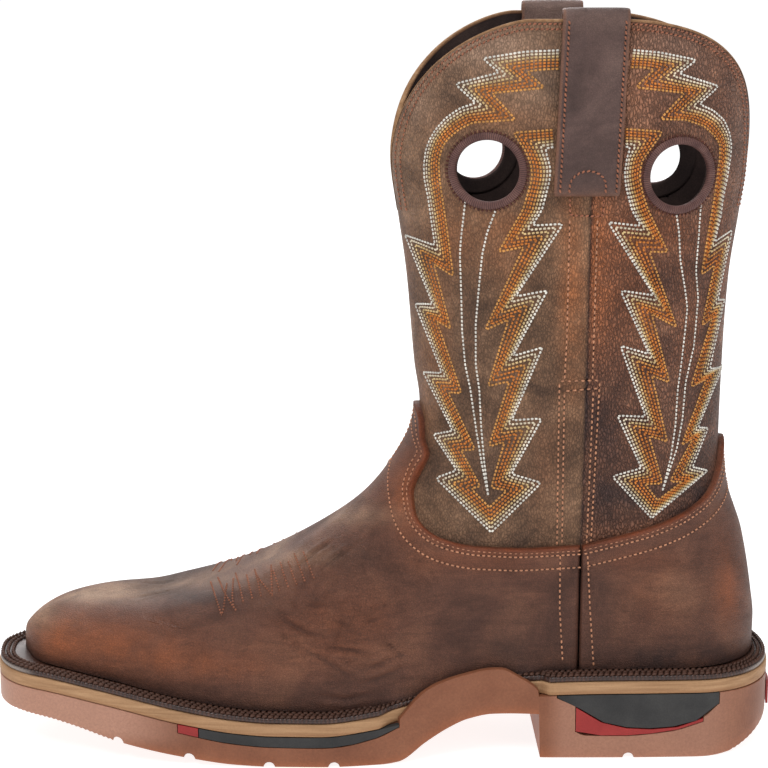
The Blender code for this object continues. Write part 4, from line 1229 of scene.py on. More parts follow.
def strapPath():
    fold = (boot["gap"] + boot["wall"] + strap["innerGap"]) / 2
    crest = boot["gap"] - fold
    rise = [(boot["gap"], z, 1.0, 0.0) for z in np.linspace(strap["end"], strap["seat"], 60)]
    over = []
    for angle in np.linspace(0, math.pi, 16)[1:-1]:
        outward = math.cos(angle)
        upward = math.sin(angle)
        over.append((crest + fold * outward, strap["seat"] + fold * upward, outward, upward))
    inside = [(crest - fold, z, -1.0, 0.0) for z in np.linspace(strap["seat"], strap["innerEnd"], 30)]
    return np.array(rise + over + inside)


def strapX(z, side):
    lean = strap["lean"] * (np.minimum(z, strap["seat"]) - strap["seat"]) / (strap["seat"] - strap["end"])
    return boot["seam"] + strap["offCentre"][side] + lean


def makeStrap(side):
    path = strapPath()
    angle = fullTurn(4 * strap["across"])
    power = 2 / strap["square"]
    acrossShare = np.sign(np.cos(angle)) * np.abs(np.cos(angle)) ** power
    upShare = np.sign(np.sin(angle)) * np.abs(np.sin(angle)) ** power
    half = strap["width"] / 2
    rows = []
    for index, (out, z, outward, upward) in enumerate(path):
        end = min(index, len(path) - 1 - index)
        swell = min(1.0, math.sqrt(min(end / strap["endSteps"], 1.0)) + strap["endLeast"])
        lift = strap["thick"] / 2 + strap["thick"] / 2 * upShare * swell
        pointX = strapX(z, side) + acrossShare * (half - strap["endTaper"] * (1 - swell))
        pointZ = z + upward * lift
        base = wallY(pointX, np.clip(pointZ, 0, strap["wallTop"]), np.full(len(angle), side == "medial"))
        rows.append(np.stack([pointX, base + sideSign[side] * (out + outward * lift), pointZ], axis=-1))
    rows = np.array(rows)
    faces = gridFaces(*rows.shape[:2], closed=True, flip=side == "lateral")
    count = rows.shape[1]
    last = (rows.shape[0] - 1) * count
    firstCap = list(range(count))
    lastCap = list(range(last, last + count))
    caps = [firstCap, lastCap[::-1]] if side == "lateral" else [firstCap[::-1], lastCap]
    piece = addPiece(f"strap_{side}", rows, faces + caps, leathers["strap"])
    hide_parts(f"pull_strap_{side}")
    edge = fade((np.abs(acrossShare) * half - strap["edgeBand"]) / strap["edgeFade"]) * strap["edgeShade"]
    low = np.exp(-(path[:, 1] - strap["end"]) / strap["lowReach"]) * (path[:, 2] > 0)
    fold = np.exp(-(((rows[..., 2] - strap["seat"]) / strap["foldReach"]) ** 2)) * strap["foldPale"]
    inner = strap["innerPale"] * (path[:, 2] < 0)
    paintPoints(
        piece, edge=np.clip(edge + low[:, None], 0, strap["edgeShade"]),
        pale=np.clip(fold + inner[:, None], 0, strap["palest"]), flex=np.full(fold.shape, strap["flex"]),
    )


binding = {
    "radius": 13.4, "reach": 1.6, "thick": 1.5, "sink": 0.5, "square": 0.8, "section": 12, "steps": 324,
    "ribs": 108, "rib": 0.2, "ribShade": 0.9,
}


def swollen(share, power):
    return math.copysign(abs(share) ** power, share)


def makeBinding(side, where):
    angle = fullTurn(binding["steps"])
    centre, normal = holeRing(side, where, binding["radius"], angle)
    centre = centre - normal * binding["sink"]
    outward = np.cross(unit(np.roll(centre, -1, axis=0) - np.roll(centre, 1, axis=0)), normal)
    outward *= np.sign((outward * (centre - centre.mean(axis=0))).sum(-1, keepdims=True))
    wave = np.abs(np.sin(angle * binding["ribs"] / 2))
    rib = 1 + binding["rib"] * (wave - 0.5)
    rows = []
    for corner in fullTurn(binding["section"]):
        reach = binding["reach"] * swollen(math.cos(corner), binding["square"])
        lift = binding["thick"] * swollen(math.sin(corner), binding["square"])
        rows.append(centre + outward * reach + normal * (lift * rib)[:, None])
    rows = np.array(rows)
    faces = gridFaces(*rows.shape[:2], wrapped=True, flip=side == "medial")
    piece = addPiece(f"binding_{side}_{where}", rows, faces, stuffs["binding"])
    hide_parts(f"hole_binding_{side}_{where}")
    paintPoints(piece, deep=np.broadcast_to((1 - wave) ** 2 * binding["ribShade"], rows.shape[:2]))


facing = {"from": 12.4, "to": 18.6, "rings": 7, "steps": 120, "proud": 0.25, "sunk": 0.2, "shade": 0.3}


def makeFacing(side, where):
    # lining leather round a pull hole, inside the shaft, darkened with painted shade
    angle = fullTurn(facing["steps"])
    radii = np.linspace(facing["from"], facing["to"], facing["rings"])
    section = [(radius, facing["proud"]) for radius in radii]
    section += [(radius, -facing["sunk"]) for radius in radii[::-1]]
    rows = []
    for radius, proud in section:
        spot, normal = holeRing(side, where, radius, angle)
        rows.append(spot - normal * (boot["wall"] + proud))
    rows = np.array(rows)
    faces = gridFaces(*rows.shape[:2], wrapped=True, flip=side == "medial")
    piece = addPiece(f"facing_{side}_{where}", rows, faces, leathers["lining"])
    paintPoints(piece, deep=np.full(rows.shape[:2], facing["shade"]))


for bootSide in sideSign:
    makeStrap(bootSide)
    for holeName in pullHoles:
        makeBinding(bootSide, holeName)
        makeFacing(bootSide, holeName)
print("straps and bindings ready")


# Sole: outsole, midsole and welt as rings round one outline

sole = {
    "step": 1.6, "leastStep": 0.003, "cornerHalf": 0.04, "toeStations": 40, "heelStations": 44,
    "bevel": 1.2, "pocket": 3.3, "play": 0.3,
    "lip": 2.6, "lipProud": 0.25, "lipFrom": 4.0, "lipTo": 60.2, "topTuck": 4.2, "capColumns": 16,
    "groove": 2.2, "grooveDepth": 0.9, "grooveAt": (-109.0, -80.0, -48.0, -22.0, 97.0),
    "grooveSteps": (0.8, 1.6, 2.1, 2.3), "breast": (60.6, 61.2),
    "chipFront": -84.4, "stripBack": 4.3, "panelFront": 67.7, "panelBack": 133.8,
    "wedgeFront": 75.5, "wedgeBack": 127.0,
    "toothPitch": 1.9, "tooth": 0.55, "toeTeeth": (-154.0, -112.0), "heelTeeth": (139.0, 157.2),
    "sharp": 42.0, "lowReach": 1.6, "lowShade": 0.7, "palest": 0.8,
    "toePaleFrom": -72.0, "toePaleFade": 40.0, "toePaleLow": 4.0, "toePaleRise": 10.0, "toePale": 0.78,
    "heelPaleFrom": 62.0, "heelPaleFade": 10.0, "heelPaleTo": 150.0, "heelPaleEnd": 24.0, "heelPale": 0.45,
}


pocketEnds = {
    "forefoot": (sole["chipFront"] - sole["play"], sole["stripBack"]),
    "heel": (sole["panelFront"], sole["panelBack"]),
    "wedge": (sole["wedgeFront"] - sole["play"], sole["wedgeBack"] + sole["play"]),
}


def roundEnd(count, depth, square):
    # stations from the tip of a round end, close together where it turns
    share = np.linspace(0, 0.97, count) ** square
    return depth * (1 - (1 - share) ** (1 / square))


def soleStations():
    toe = boot["toe"] + roundEnd(sole["toeStations"], boot["toeDepth"]["medial"], boot["toeSquare"]["medial"])
    heel = boot["heel"] - roundEnd(sole["heelStations"], boot["heelDepth"], boot["heelSquare"])
    between = np.arange(toe[-1] + sole["step"], heel[-1] - 1.0, sole["step"])
    near = np.concatenate([-np.array(sole["grooveSteps"][::-1]), [0.0], sole["grooveSteps"]])
    grooves = [x + near for x in sole["grooveAt"]]
    toothStep = sole["toothPitch"] / 4
    teeth = [np.arange(first, last, toothStep) for first, last in (sole["toeTeeth"], sole["heelTeeth"])]
    ends = [*pocketEnds["forefoot"], *pocketEnds["heel"], *pocketEnds["wedge"]]
    beside = (-sole["cornerHalf"], sole["cornerHalf"])
    corners = np.concatenate([sole["breast"], [x + step for x in ends for step in beside]])
    stations = np.unique(np.round(np.concatenate([toe, heel, between, corners] + grooves + teeth), 3))
    return stations[np.concatenate([[True], np.diff(stations) > sole["leastStep"]])]


def soleHalf(x, side):
    toe = rounded((x - boot["toe"]) / boot["toeDepth"][side], boot["toeSquare"][side])
    heel = rounded((boot["heel"] - x) / boot["heelDepth"], boot["heelSquare"])
    return readAt(solePlan, side, x) * toe * heel


stationX = soleStations()
ringX = np.concatenate([stationX, stationX[-2:0:-1]])
ringSide = np.concatenate([np.full(len(stationX), -1.0), np.full(len(stationX) - 2, 1.0)])
ringHalf = np.where(ringSide < 0, soleHalf(ringX, "lateral"), soleHalf(ringX, "medial"))
ringPlan = np.stack([ringX, readAt(solePlan, "centre", ringX) + ringSide * ringHalf], axis=-1)
ringAhead = np.roll(ringPlan, -1, axis=0) - np.roll(ringPlan, 1, axis=0)
ringOut = unit(np.stack([ringAhead[:, 1], -ringAhead[:, 0]], axis=-1))


def soleRing(offset, z):
    plan = ringPlan + ringOut * np.broadcast_to(offset, ringX.shape)[:, None]
    return np.column_stack([plan, np.broadcast_to(z, ringX.shape)])


def capGrid(ring, columns):
    # surface across a ring, station by station from the lateral to the medial side
    count = len(stationX)
    lateral = ring[:count]
    medial = np.concatenate([ring[:1], ring[:count - 1:-1], ring[count - 1:count]])
    share = np.linspace(0, 1, columns)[:, None, None]
    return lateral + (medial - lateral) * share


def outsoleTop(x):
    return readAt(soleProfile, "midsole", x) - boot["midsole"] - boot["gap"]


def within(x, low, high):
    return (x > low) & (x < high)


def treadLow(x):
    low = readAt(soleProfile, "tread", x)
    for centre in sole["grooveAt"]:
        low = low + np.sqrt(np.clip(sole["groove"] ** 2 - (x - centre) ** 2, 0, None)) * sole["grooveDepth"]
    return low


def treadTeeth(x):
    wave = np.abs(((x / sole["toothPitch"]) % 1.0) - 0.5) * 2
    toothed = within(x, *sole["toeTeeth"]) | within(x, *sole["heelTeeth"])
    return np.where(toothed, sole["tooth"] * wave, 0.0)


def soleTrim():
    # along the outline: height of the lips, how proud they stand, and the pockets of the inlays
    x = ringX
    top = outsoleTop(x)
    lipped = within(x, sole["lipFrom"], sole["lipTo"])
    crown = np.where(lipped, np.maximum(readAt(lipLine, "top", x), top), top)
    proud = np.where(lipped, sole["lipProud"], 0.0) * fade((crown - top) / 4.0)
    forefoot, heel, wedge = [within(x, *pocketEnds[name]) for name in ("forefoot", "heel", "wedge")]
    heelLow = np.where(wedge, readAt(heelWedgeLow, "low", x), readAt(heelPanelLow, "low", x))
    pocketFloor = np.where(forefoot, top - readAt(stripHeight, "height", x), heelLow) - sole["play"]
    pocket = forefoot | heel
    floor = np.where(pocket, np.minimum(pocketFloor, top - 0.2), crown - 0.5)
    return top, lipped, crown, proud, floor, np.where(pocket, -sole["pocket"], 0.0)


def outsoleRings():
    # rings of the outsole's side from the tread to the top, each an offset from the outline and a height
    top, lipped, crown, proud, floor, inset = soleTrim()
    low = treadLow(ringX)
    teeth = treadTeeth(ringX)
    side = low + sole["bevel"]
    inner = np.where(lipped, -sole["lip"], -sole["topTuck"])
    rings = [(-sole["bevel"], low + teeth), (-0.5, low + 0.22 + teeth)]
    rings += [(-0.12, low + 0.66 + teeth * 0.6), (0.0, side)]
    rings += [(proud * share, side + (floor - side) * share) for share in (0.2, 0.4, 0.6, 0.8)]
    rings += [(proud, floor), (proud + inset, floor), (proud + inset, floor + (crown - floor) * 0.5)]
    rings += [(proud + inset - 0.12, crown - 0.1), (proud + inset - 0.5, crown), (inner + 0.3, crown)]
    rings += [(inner, np.where(lipped, crown - 0.4, crown)), (inner, top)]
    return np.array([soleRing(offset, z) for offset, z in rings])


def makeOutsole():
    rings = outsoleRings()
    faces = gridFaces(*rings.shape[:2], closed=True)
    points = [rings.reshape(-1, 3)]
    base = rings.shape[0] * rings.shape[1]
    for ring, flip in ((rings[0], True), (rings[-1], False)):
        cap = capGrid(ring, sole["capColumns"])
        points.append(cap.reshape(-1, 3))
        faces += (np.array(gridFaces(*cap.shape[:2], flip=flip)) + base).tolist()
        base += cap.shape[0] * cap.shape[1]
    points = np.concatenate(points)
    piece = addPiece("outsole_rubber", points, faces, stuffs["caramelRubber"])
    piece.data.set_sharp_from_angle(angle=math.radians(sole["sharp"]))
    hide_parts("outsole")
    x = points[:, 0]
    z = points[:, 2]
    deep = sole["lowShade"] * np.exp(-(z - readAt(soleProfile, "tread", x)) / sole["lowReach"])
    # pale is a painted sheen over the toe above the tread and along the heel's side
    lowest = treadLow(ringX).min() + sole["toePaleLow"]
    toe = fade((sole["toePaleFrom"] - x) / sole["toePaleFade"]) * fade((z - lowest) / sole["toePaleRise"])
    heel = fade((x - sole["heelPaleFrom"]) / sole["heelPaleFade"])
    heel = heel * fade((sole["heelPaleTo"] - x) / sole["heelPaleEnd"]) * sole["heelPale"]
    palest = sole["palest"]
    paintPoints(piece, deep=np.clip(deep, 0, palest), pale=np.clip(toe * sole["toePale"] + heel, 0, palest))


# section of the midsole's edge: out from the outline, up from its underside
midsoleProfile = [
    (-6.0, 0.0), (-0.35, 0.0), (-0.08, 0.25), (0.0, 0.7), (0.1, 2.0), (0.1, 3.2), (0.0, 4.3), (-0.1, 4.75),
    (-0.4, 5.0), (-9.0, 5.0),
]


def makeMidsole():
    high = readAt(soleProfile, "midsole", ringX)
    inset = -readAt(lipInset, "inset", ringX)
    low = high - boot["midsole"]
    rings = np.array([soleRing(inset + out, low + rise) for out, rise in midsoleProfile])
    faces = gridFaces(*rings.shape[:2], closed=True)
    piece = addPiece("midsole_layer", rings, faces, stuffs["tanMidsole"])
    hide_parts("midsole")
    rise = np.array([rise for out, rise in midsoleProfile])
    line = np.exp(-((rise - 0.9) / 0.35) ** 2) * 0.5 + np.exp(-rise / 0.3) * 0.6
    paintPoints(piece, deep=np.broadcast_to(line[:, None], rings.shape[:2]))


welt = {
    "ridgePitch": 1.7, "ridge": 0.3, "ridgedReach": 5.5, "sheen": 0.55, "sheenToe": -142.0, "sheenHeel": 143.0,
    "sheenFade": 8.0, "valleyShade": 0.8, "rows": (1.5, 3.6, 5.7), "stitchLift": 0.25, "rowPoints": 1400,
}
# section of the welt: in from the outline, up from its underside
weltProfile = [
    (0.9, 0.0), (0.7, 0.5), (0.75, 1.4), (1.1, 1.95), (1.7, 2.2), (3.0, 2.2), (5.0, 2.2), (8.0, 2.2),
    (13.0, 2.2),
]


def readRow(values, run, where):
    # points or directions of a row, read at distances along it
    return np.stack([np.interp(where, run, column) for column in values.T], axis=-1)


def weltArc():
    run = np.linalg.norm(np.roll(ringPlan, -1, axis=0) - ringPlan, axis=-1)
    return np.concatenate([[0.0], np.cumsum(run)])


def weltReach(arc, offset):
    # points along the sole's outline, spaced by arc and moved in by an offset
    lengths = weltArc()
    plan = np.concatenate([ringPlan, ringPlan[:1]])
    out = np.concatenate([ringOut, ringOut[:1]])
    edge = readRow(plan, lengths, arc)
    normal = unit(readRow(out, lengths, arc))
    inset = offset + readAt(lipInset, "inset", edge[:, 0])
    return edge - normal * inset[:, None], normal


def makeWelt():
    total = weltArc()[-1]
    arc = np.linspace(0, total, round(total / (welt["ridgePitch"] / 4)), endpoint=False)
    wave = 0.5 + 0.5 * np.cos(2 * math.pi * arc / welt["ridgePitch"])
    rows = []
    valleys = []
    for offset, rise in weltProfile:
        plan, normal = weltReach(arc, offset)
        ridged = rise > 0.4 and offset < welt["ridgedReach"]
        ridge = welt["ridge"] * wave * ridged
        plan = plan + normal * (ridge * 0.5 * (rise < 2.1))[:, None]
        z = readAt(soleProfile, "midsole", plan[:, 0]) + boot["gap"] + rise
        z = z + (ridge - welt["ridge"] * 0.5) * (rise > 1.0)
        rows.append(np.column_stack([plan, z]))
        valleys.append((1 - wave) * ridged)
    rows = np.array(rows)
    faces = gridFaces(*rows.shape[:2], closed=True)
    piece = addPiece("welt_strip", rows, faces, stuffs["welt"])
    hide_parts("welt")
    x = rows[..., 0]
    # pale painted sheen over the welt's outer edge at the toe and the heel
    ends = fade((welt["sheenToe"] - x) / welt["sheenFade"]) + fade((x - welt["sheenHeel"]) / welt["sheenFade"])
    low = np.array([rise < 1.6 for offset, rise in weltProfile])[:, None]
    paintPoints(piece, deep=np.array(valleys) * welt["valleyShade"], pale=ends * low * welt["sheen"])


makeOutsole()
makeMidsole()
makeWelt()
print("sole ready with", len(stationX), "stations")


# Pieces that keep their solids: inlays, heel tab and insole

keptNodes = {
    "forefoot_insert": "charcoalRubber", "heel_insert": "charcoalRubber", "forefoot_chip": "redRubber",
    "heel_wedge": "redRubber", "heel_tab": "redRubber", "insole": "insoleBoard",
}
softEdge = {"width": 0.35, "segments": 2, "angle": 40.0}
for nodeName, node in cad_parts.items():
    for kind, stuff in keptNodes.items():
        if nodeName.startswith(kind):
            node.data.materials.clear()
            node.data.materials.append(stuffs[stuff])
            soften = node.modifiers.new("soft edges", "BEVEL")
            soften.width = softEdge["width"] * mm
            soften.segments = softEdge["segments"]
            soften.limit_method = "ANGLE"
            soften.angle_limit = math.radians(softEdge["angle"])
print("inlays finished")


# Stitching

sewn = {name: [] for name in threadColours}
spindle = {"tipSink": 0.3, "lift": 0.12, "shoulders": (0.25, 0.75)}
needleShadow = {"half": 0.4, "width": 0.72, "sink": 0.28}


def stitchBodies(start, end, normal, width, sink=0.0):
    # spindles with their tips sunk in the leather
    across = np.cross(unit(end - start), normal)
    tip = normal * (spindle["tipSink"] * width + sink)
    points = [start - tip]
    for share in spindle["shoulders"]:
        centre = start + (end - start) * share + normal * (spindle["lift"] * width - sink)
        for angle in (0.0, 0.5 * math.pi, math.pi, 1.5 * math.pi):
            points.append(centre + (across * math.cos(angle) + normal * math.sin(angle)) * (0.5 * width))
    points.append(end - tip)
    return np.stack(points, axis=1)


def sew(points, normals, thread, pitch, length, width, cross=0.0, holes=False):
    run = np.concatenate([[0.0], np.cumsum(np.linalg.norm(np.diff(points, axis=0), axis=-1))])
    count = int(run[-1] / pitch)
    if count < 1:
        return
    at = (np.arange(count) + 0.5) * run[-1] / count
    normal = unit(readRow(normals, run, at))
    start = readRow(points, run, at - length / 2)
    end = readRow(points, run, at + length / 2)
    across = np.cross(end - start, normal) / length
    sewn[thread].append(stitchBodies(start + across * cross / 2, end - across * cross / 2, normal, width))
    if holes:
        # dark spindles sunk between the stitches: painted shadow in the needle holes
        at = np.arange(1, count) * run[-1] / count
        start, end = [readRow(points, run, at + side * needleShadow["half"]) for side in (-1.0, 1.0)]
        normal = unit(readRow(normals, run, at))
        sewn["hole"].append(stitchBodies(start, end, normal, needleShadow["width"], needleShadow["sink"]))


def makeStitches():
    ringFaces = []
    tipFaces = []
    for corner in range(4):
        beside = (corner + 1) % 4
        ringFaces.append((1 + corner, 5 + corner, 5 + beside, 1 + beside))
        tipFaces.append((0, 1 + corner, 1 + beside))
        tipFaces.append((5 + beside, 5 + corner, 9))
    for name, rows in sewn.items():
        if not rows:
            continue
        points = np.concatenate(rows)
        first = (np.arange(len(points)) * points.shape[1])[:, None, None]
        faces = (np.array(ringFaces) + first).reshape(-1, 4).tolist()
        faces += (np.array(tipFaces) + first).reshape(-1, 3).tolist()
        addPiece(f"stitches_{name}", points, faces, threads[name])
        print("stitches", name, len(points))


# Flame pattern of the shaft, charted from the photograph: outer and inner edge of each band
frontFlameLeft = [
    ((559.8, 50.3), (559.3, 68.7)), ((525, 51.7), (545, 69.2)), ((482.6, 58.4), (526.2, 71.4)),
    ((499.6, 72.5), (544.6, 87.7)), ((455.2, 83.9), (491.5, 93.1)), ((475.8, 102.9), (515.9, 119.7)),
    ((460, 108.3), (473, 122.4)), ((446, 118), (460, 128.9)), ((436.2, 128.9), (449.2, 137.6)),
    ((429.7, 139.7), (443.5, 145)), ((425.9, 150.6), (440, 155)), ((424, 164.7), (438.9, 164)),
    ((424.5, 178.8), (439.7, 178.8)), ((428.6, 200), (442.7, 200)), ((430.8, 216.3), (446, 221.7)),
    ((435.1, 245.5), (453.5, 276.4)), ((405.3, 234.7), (434, 263.4)), ((432.9, 304.1), (450.8, 329)),
    ((415.1, 303.5), (436.7, 320.3)), ((442.2, 373), (461.7, 393)), ((423.3, 371.8), (448.1, 391.9)),
    ((452.8, 430.8), (475.2, 449.7)), ((433.3, 434.3), (461, 450.3)), ((456.9, 470.3), (480.5, 486.8)),
    ((435.7, 478), (470.5, 488)), ((491.2, 532.3), (489.4, 507.5)),
]
frontFlameRight = [
    ((491.2, 532.3), (489.4, 507.5)), ((541.3, 482.7), (507, 490.4)), ((511.2, 473.9), (491.2, 487.4)),
    ((541.9, 418.4), (504.7, 441.4)), ((511.8, 420.2), (488.8, 446.7)), ((542.4, 347.4), (509.4, 381.2)),
    ((512.6, 356.1), (488.2, 386)), ((547.3, 290.5), (508.8, 319.3)), ((515.3, 296.5), (485, 330.1)),
    ((563, 223.9), (524, 246.6)), ((532.2, 225.5), (498.5, 252)), ((541.9, 210), (522.9, 210)),
    ((549.5, 180.9), (530.5, 185)), ((550.6, 170), (532.2, 175.5)), ((549.5, 164.7), (530.5, 162.5)),
    ((547, 156), (524, 148.4)), ((545.2, 148.4), (513.2, 132.7)), ((554.4, 146.8), (553.3, 129.8)),
]
frontVeinLeft = [
    (465.5, 200), (461.1, 238), (460, 254), (461.4, 297.6), (462.2, 330), (465.3, 365), (470.5, 389.5),
    (476.4, 430.8), (482.3, 466.2), (488.2, 495.7),
]
frontVeinRight = [
    (495.8, 209.8), (487.2, 232.5), (482.3, 254.2), (478.5, 292.2), (475.8, 324.7), (475.8, 365),
    (479.4, 389.5), (481.1, 424.9), (484.1, 460.3), (488.2, 495.7),
]
rearFlameRight = [
    ((632.4, 50), (630.2, 67.1)), ((660.1, 52.5), (642.7, 67.3)), ((696.4, 59.8), (654.6, 69.1)),
    ((679, 73.6), (635.7, 87.2)), ((718.6, 86.1), (685, 92.9)), ((699.1, 104), (660.1, 119.1)),
    ((713.2, 110.5), (686.1, 119.7)), ((724, 120.2), (703.4, 125.7)), ((729.4, 133.2), (714.3, 135.4)),
    ((731.1, 145.2), (719.7, 144.1)), ((730, 158.2), (719.7, 157.1)), ((726.7, 178.8), (716.4, 178.8)),
    ((722.4, 200), (713.7, 200)), ((720.8, 214.1), (709.9, 221.7)), ((714.3, 241.7), (701.2, 274.8)),
    ((731.6, 229.8), (714.3, 265)), ((717.5, 299.7), (701.8, 325.8)), ((724, 299.2), (712.1, 317.1)),
    ((709.4, 368.3), (690.6, 387.1)), ((723, 364.7), (705.9, 378.9)), ((697.6, 427.3), (681.7, 444.9)),
    ((707.7, 427.8), (692.9, 437.9)), ((692.3, 466.8), (669.9, 481.5)), ((707.7, 470.3), (682.3, 481.5)),
    ((651.6, 518.1), (657.5, 500.4)),
]
rearFlameLeft = [
    ((651.6, 518.1), (657.5, 500.4)), ((612.1, 476.2), (644.6, 483.9)), ((641.6, 468), (662.3, 483.3)),
    ((617.4, 415.5), (648.7, 435.5)), ((645.7, 416.6), (667, 441.4)), ((620.5, 345.8), (651.6, 375.3)),
    ((649.2, 354), (669.3, 382.4)), ((620.5, 290.5), (651.4, 313.8)), ((654.1, 295.4), (676.3, 326.8)),
    ((608, 222.2), (649.2, 251.5)), ((641.1, 226), (667.6, 252)), ((631.9, 210), (648.1, 210)),
    ((625.9, 186.4), (642.7, 194)), ((624.5, 172.3), (639.5, 176.6)), ((627, 157.1), (641.6, 161.4)),
    ((630.8, 146.8), (662.8, 131.6)), ((624.8, 146.8), (624.8, 128.9)),
]
rearVeinLeft = [
    (676.3, 214.1), (679, 232.5), (680.1, 259.6), (685, 290), (687.2, 308.4), (685, 330.1), (681.5, 361),
    (677.6, 389.5), (675.2, 426.1), (670.5, 457.9), (662.3, 491),
]
rearVeinRight = [
    (700.7, 204.3), (698.5, 237.9), (695.8, 270.5), (698, 297.6), (695.8, 322.5), (693.7, 346.4), (690, 362),
    (685.3, 383.6), (682.3, 419), (676.4, 449.7), (668.2, 473.3), (662.3, 491),
]
flameThreads = ("white", "ivory", "straw", "amber", "orange", "orange", "amber")
rowSizes = {
    "flame": {"pitch": 1.6, "length": 1.5, "width": 0.84},
    "seam": {"pitch": 2.3, "length": 1.75, "width": 0.72, "holes": True},
    "edge": {"pitch": 2.1, "length": 1.6, "width": 0.7, "holes": True},
    "crossed": {"pitch": 1.9, "length": 1.6, "width": 0.7, "cross": 0.7, "holes": True},
    "dots": {"pitch": 1.45, "length": 0.95, "width": 0.8},
    "welt": {"pitch": 2.4, "length": 2.6, "width": 1.5, "cross": 1.1},
}
picot = {"count": 60, "low": 14.6, "high": 16.0, "width": 0.85}


def sewPixels(pixels, thread, size, out=0.0):
    # a charted line is sewn on the lateral side, and the same on the medial side
    path = pixelsOnWall(densify(pixels))
    for side in sideSign:
        sew(*bootRow(path, side, out), thread, **rowSizes[size])


def sewFlame(band):
    band = np.array(band, float)
    for row, thread in enumerate(flameThreads):
        share = row / (len(flameThreads) - 1)
        sewPixels(band[:, 0] * (1 - share) + band[:, 1] * share, thread, "flame")


for flame in (frontFlameLeft, frontFlameRight, rearFlameRight, rearFlameLeft):
    sewFlame(flame)
for vein in (frontVeinLeft, frontVeinRight, rearVeinLeft, rearVeinRight):
    sewPixels(vein, "white", "flame")
print("flame pattern sewn")


# Seam rows, charted from the photograph
sideSeamRows = [
    [(569.8, 219), (566.8, 340), (564.5, 380)], [(597.5, 219), (593.8, 340), (592.5, 380)],
    [(559.4, 381.3), (599.7, 380.3)], [(564.4, 391.2), (599, 388.2)],
    [(559.4, 383), (556.9, 546)], [(564.4, 393), (561.9, 544)],
    [(593.3, 391), (586.6, 545)], [(599.7, 382), (590.8, 543)],
]
strapBox = [(570, 197.3), (570, 215.6), (603, 216.3), (603.8, 197.3)]
footSeamRows = [[(559.6, 553), (558.9, 607), (561.8, 659.6)], [(587, 553), (589.4, 607), (593, 665)]]
toeStitches = [
    [(210.5, 581.6), (216, 598), (221.7, 615.6), (223.9, 606.6), (225.2, 595.3), (226.9, 583.3)],
    [(217.8, 577.2), (223.4, 590.2), (229.5, 601), (236.4, 610.9)],
    [(233.4, 606), (232.2, 595.3), (232.9, 585.9), (233.4, 578.1)],
    [(235.5, 572.9), (239.4, 585), (243.3, 602.2)], [(246.7, 574.7), (249.3, 585.9), (252.6, 599.2)],
    [(254.5, 569), (257.1, 578.1), (261.2, 597.1)],
    [
        (255.5, 572), (259.7, 579.8), (268.3, 590.2), (272.6, 596.2), (271.7, 586.7), (271.3, 576.4),
        (271.3, 564.5),
    ],
    [(273, 569.5), (275.2, 576.4), (279.9, 591.5)], [(280.3, 562), (283.8, 574.7), (288.5, 588)],
    [(288.1, 561), (292.4, 573.8), (297.2, 585.4)], [(294.1, 553), (300.2, 568.6), (305.3, 582)],
    [(303.2, 551.5), (308.8, 565.2), (314.4, 579)],
]
rowInsets = {"collar": (1.5, 3.4), "vamp": (1.7, 3.3, 8.9), "counter": (1.7, 3.4, 8.9)}


def insetLine(points, distance):
    # side-view line moved to the right of its own direction
    ahead = unit(np.gradient(points, axis=0))
    moved = points + np.stack([ahead[:, 1], -ahead[:, 0]], axis=-1) * distance
    gap = np.linalg.norm(moved[:, None] - points[None], axis=-1).min(axis=1)
    return moved[gap > distance * 0.97]


def sewEdges():
    lines = {
        "collar": (collarPoints(np.linspace(0.002, 0.998, 500)), "crossed", 0.0),
        "vamp": (linePoints(vampEdge, lineSteps), "edge", boot["overlay"]),
        "counter": (linePoints(counterEdge, lineSteps), "edge", boot["overlay"]),
    }
    for name, (line, size, out) in lines.items():
        for distance in rowInsets[name]:
            for side in sideSign:
                thread = "russet" if name == "collar" else "copper"
                sew(*bootRow(insetLine(line, distance), side, out), thread, **rowSizes[size])


strapRows = {
    "from": 1.2, "below": 0.5, "left": -10.4, "right": 11.0,
    "archHalf": 6.9, "archFoot": 4.0, "archRise": 5.8,
}


def sewStrap(side):
    # a row along each edge of the strap, and an arch at its lower end
    start = strap["end"] + strapRows["from"]
    foot = strap["end"] + strapRows["archFoot"]
    half = strapRows["archHalf"]
    straight = np.linspace(start, strap["seat"] - strapRows["below"], 60)
    arc = np.linspace(0, math.pi, 24)
    legs = np.linspace(start, foot, 6)
    archX = np.concatenate([np.full(6, -half), -half * np.cos(arc), np.full(6, half)])
    archZ = np.concatenate([legs, foot + strapRows["archRise"] * np.sin(arc), legs[::-1]])
    for offCentre, z in ((strapRows["left"], straight), (strapRows["right"], straight), (archX, archZ)):
        x = strapX(z, side) + offCentre
        y = wallY(x, z, np.full(len(z), side == "medial")) + sideSign[side] * (boot["gap"] + strap["thick"])
        outward = np.broadcast_to(np.array([0.0, sideSign[side], 0.0]), (len(z), 3))
        sew(np.stack([x, y, z], axis=-1), outward, "russet", **rowSizes["crossed"])


def sewPicots(side, where):
    # short spokes round a hole's binding
    angle = fullTurn(picot["count"])
    start, normal = holeRing(side, where, picot["low"], angle)
    end = holeRing(side, where, picot["high"], angle)[0]
    sewn["rust"].append(stitchBodies(start, end, normal, picot["width"]))


def sewWelt():
    total = weltArc()[-1]
    arc = np.linspace(0, total, welt["rowPoints"])
    upward = np.broadcast_to(np.array([0.0, 0.0, 1.0]), (len(arc), 3))
    for offset in welt["rows"]:
        plan = weltReach(arc, offset)[0]
        z = readAt(soleProfile, "midsole", plan[:, 0]) + boot["gap"] + boot["welt"] + welt["stitchLift"]
        sew(np.column_stack([plan, z]), upward, "weltThread", **rowSizes["welt"])


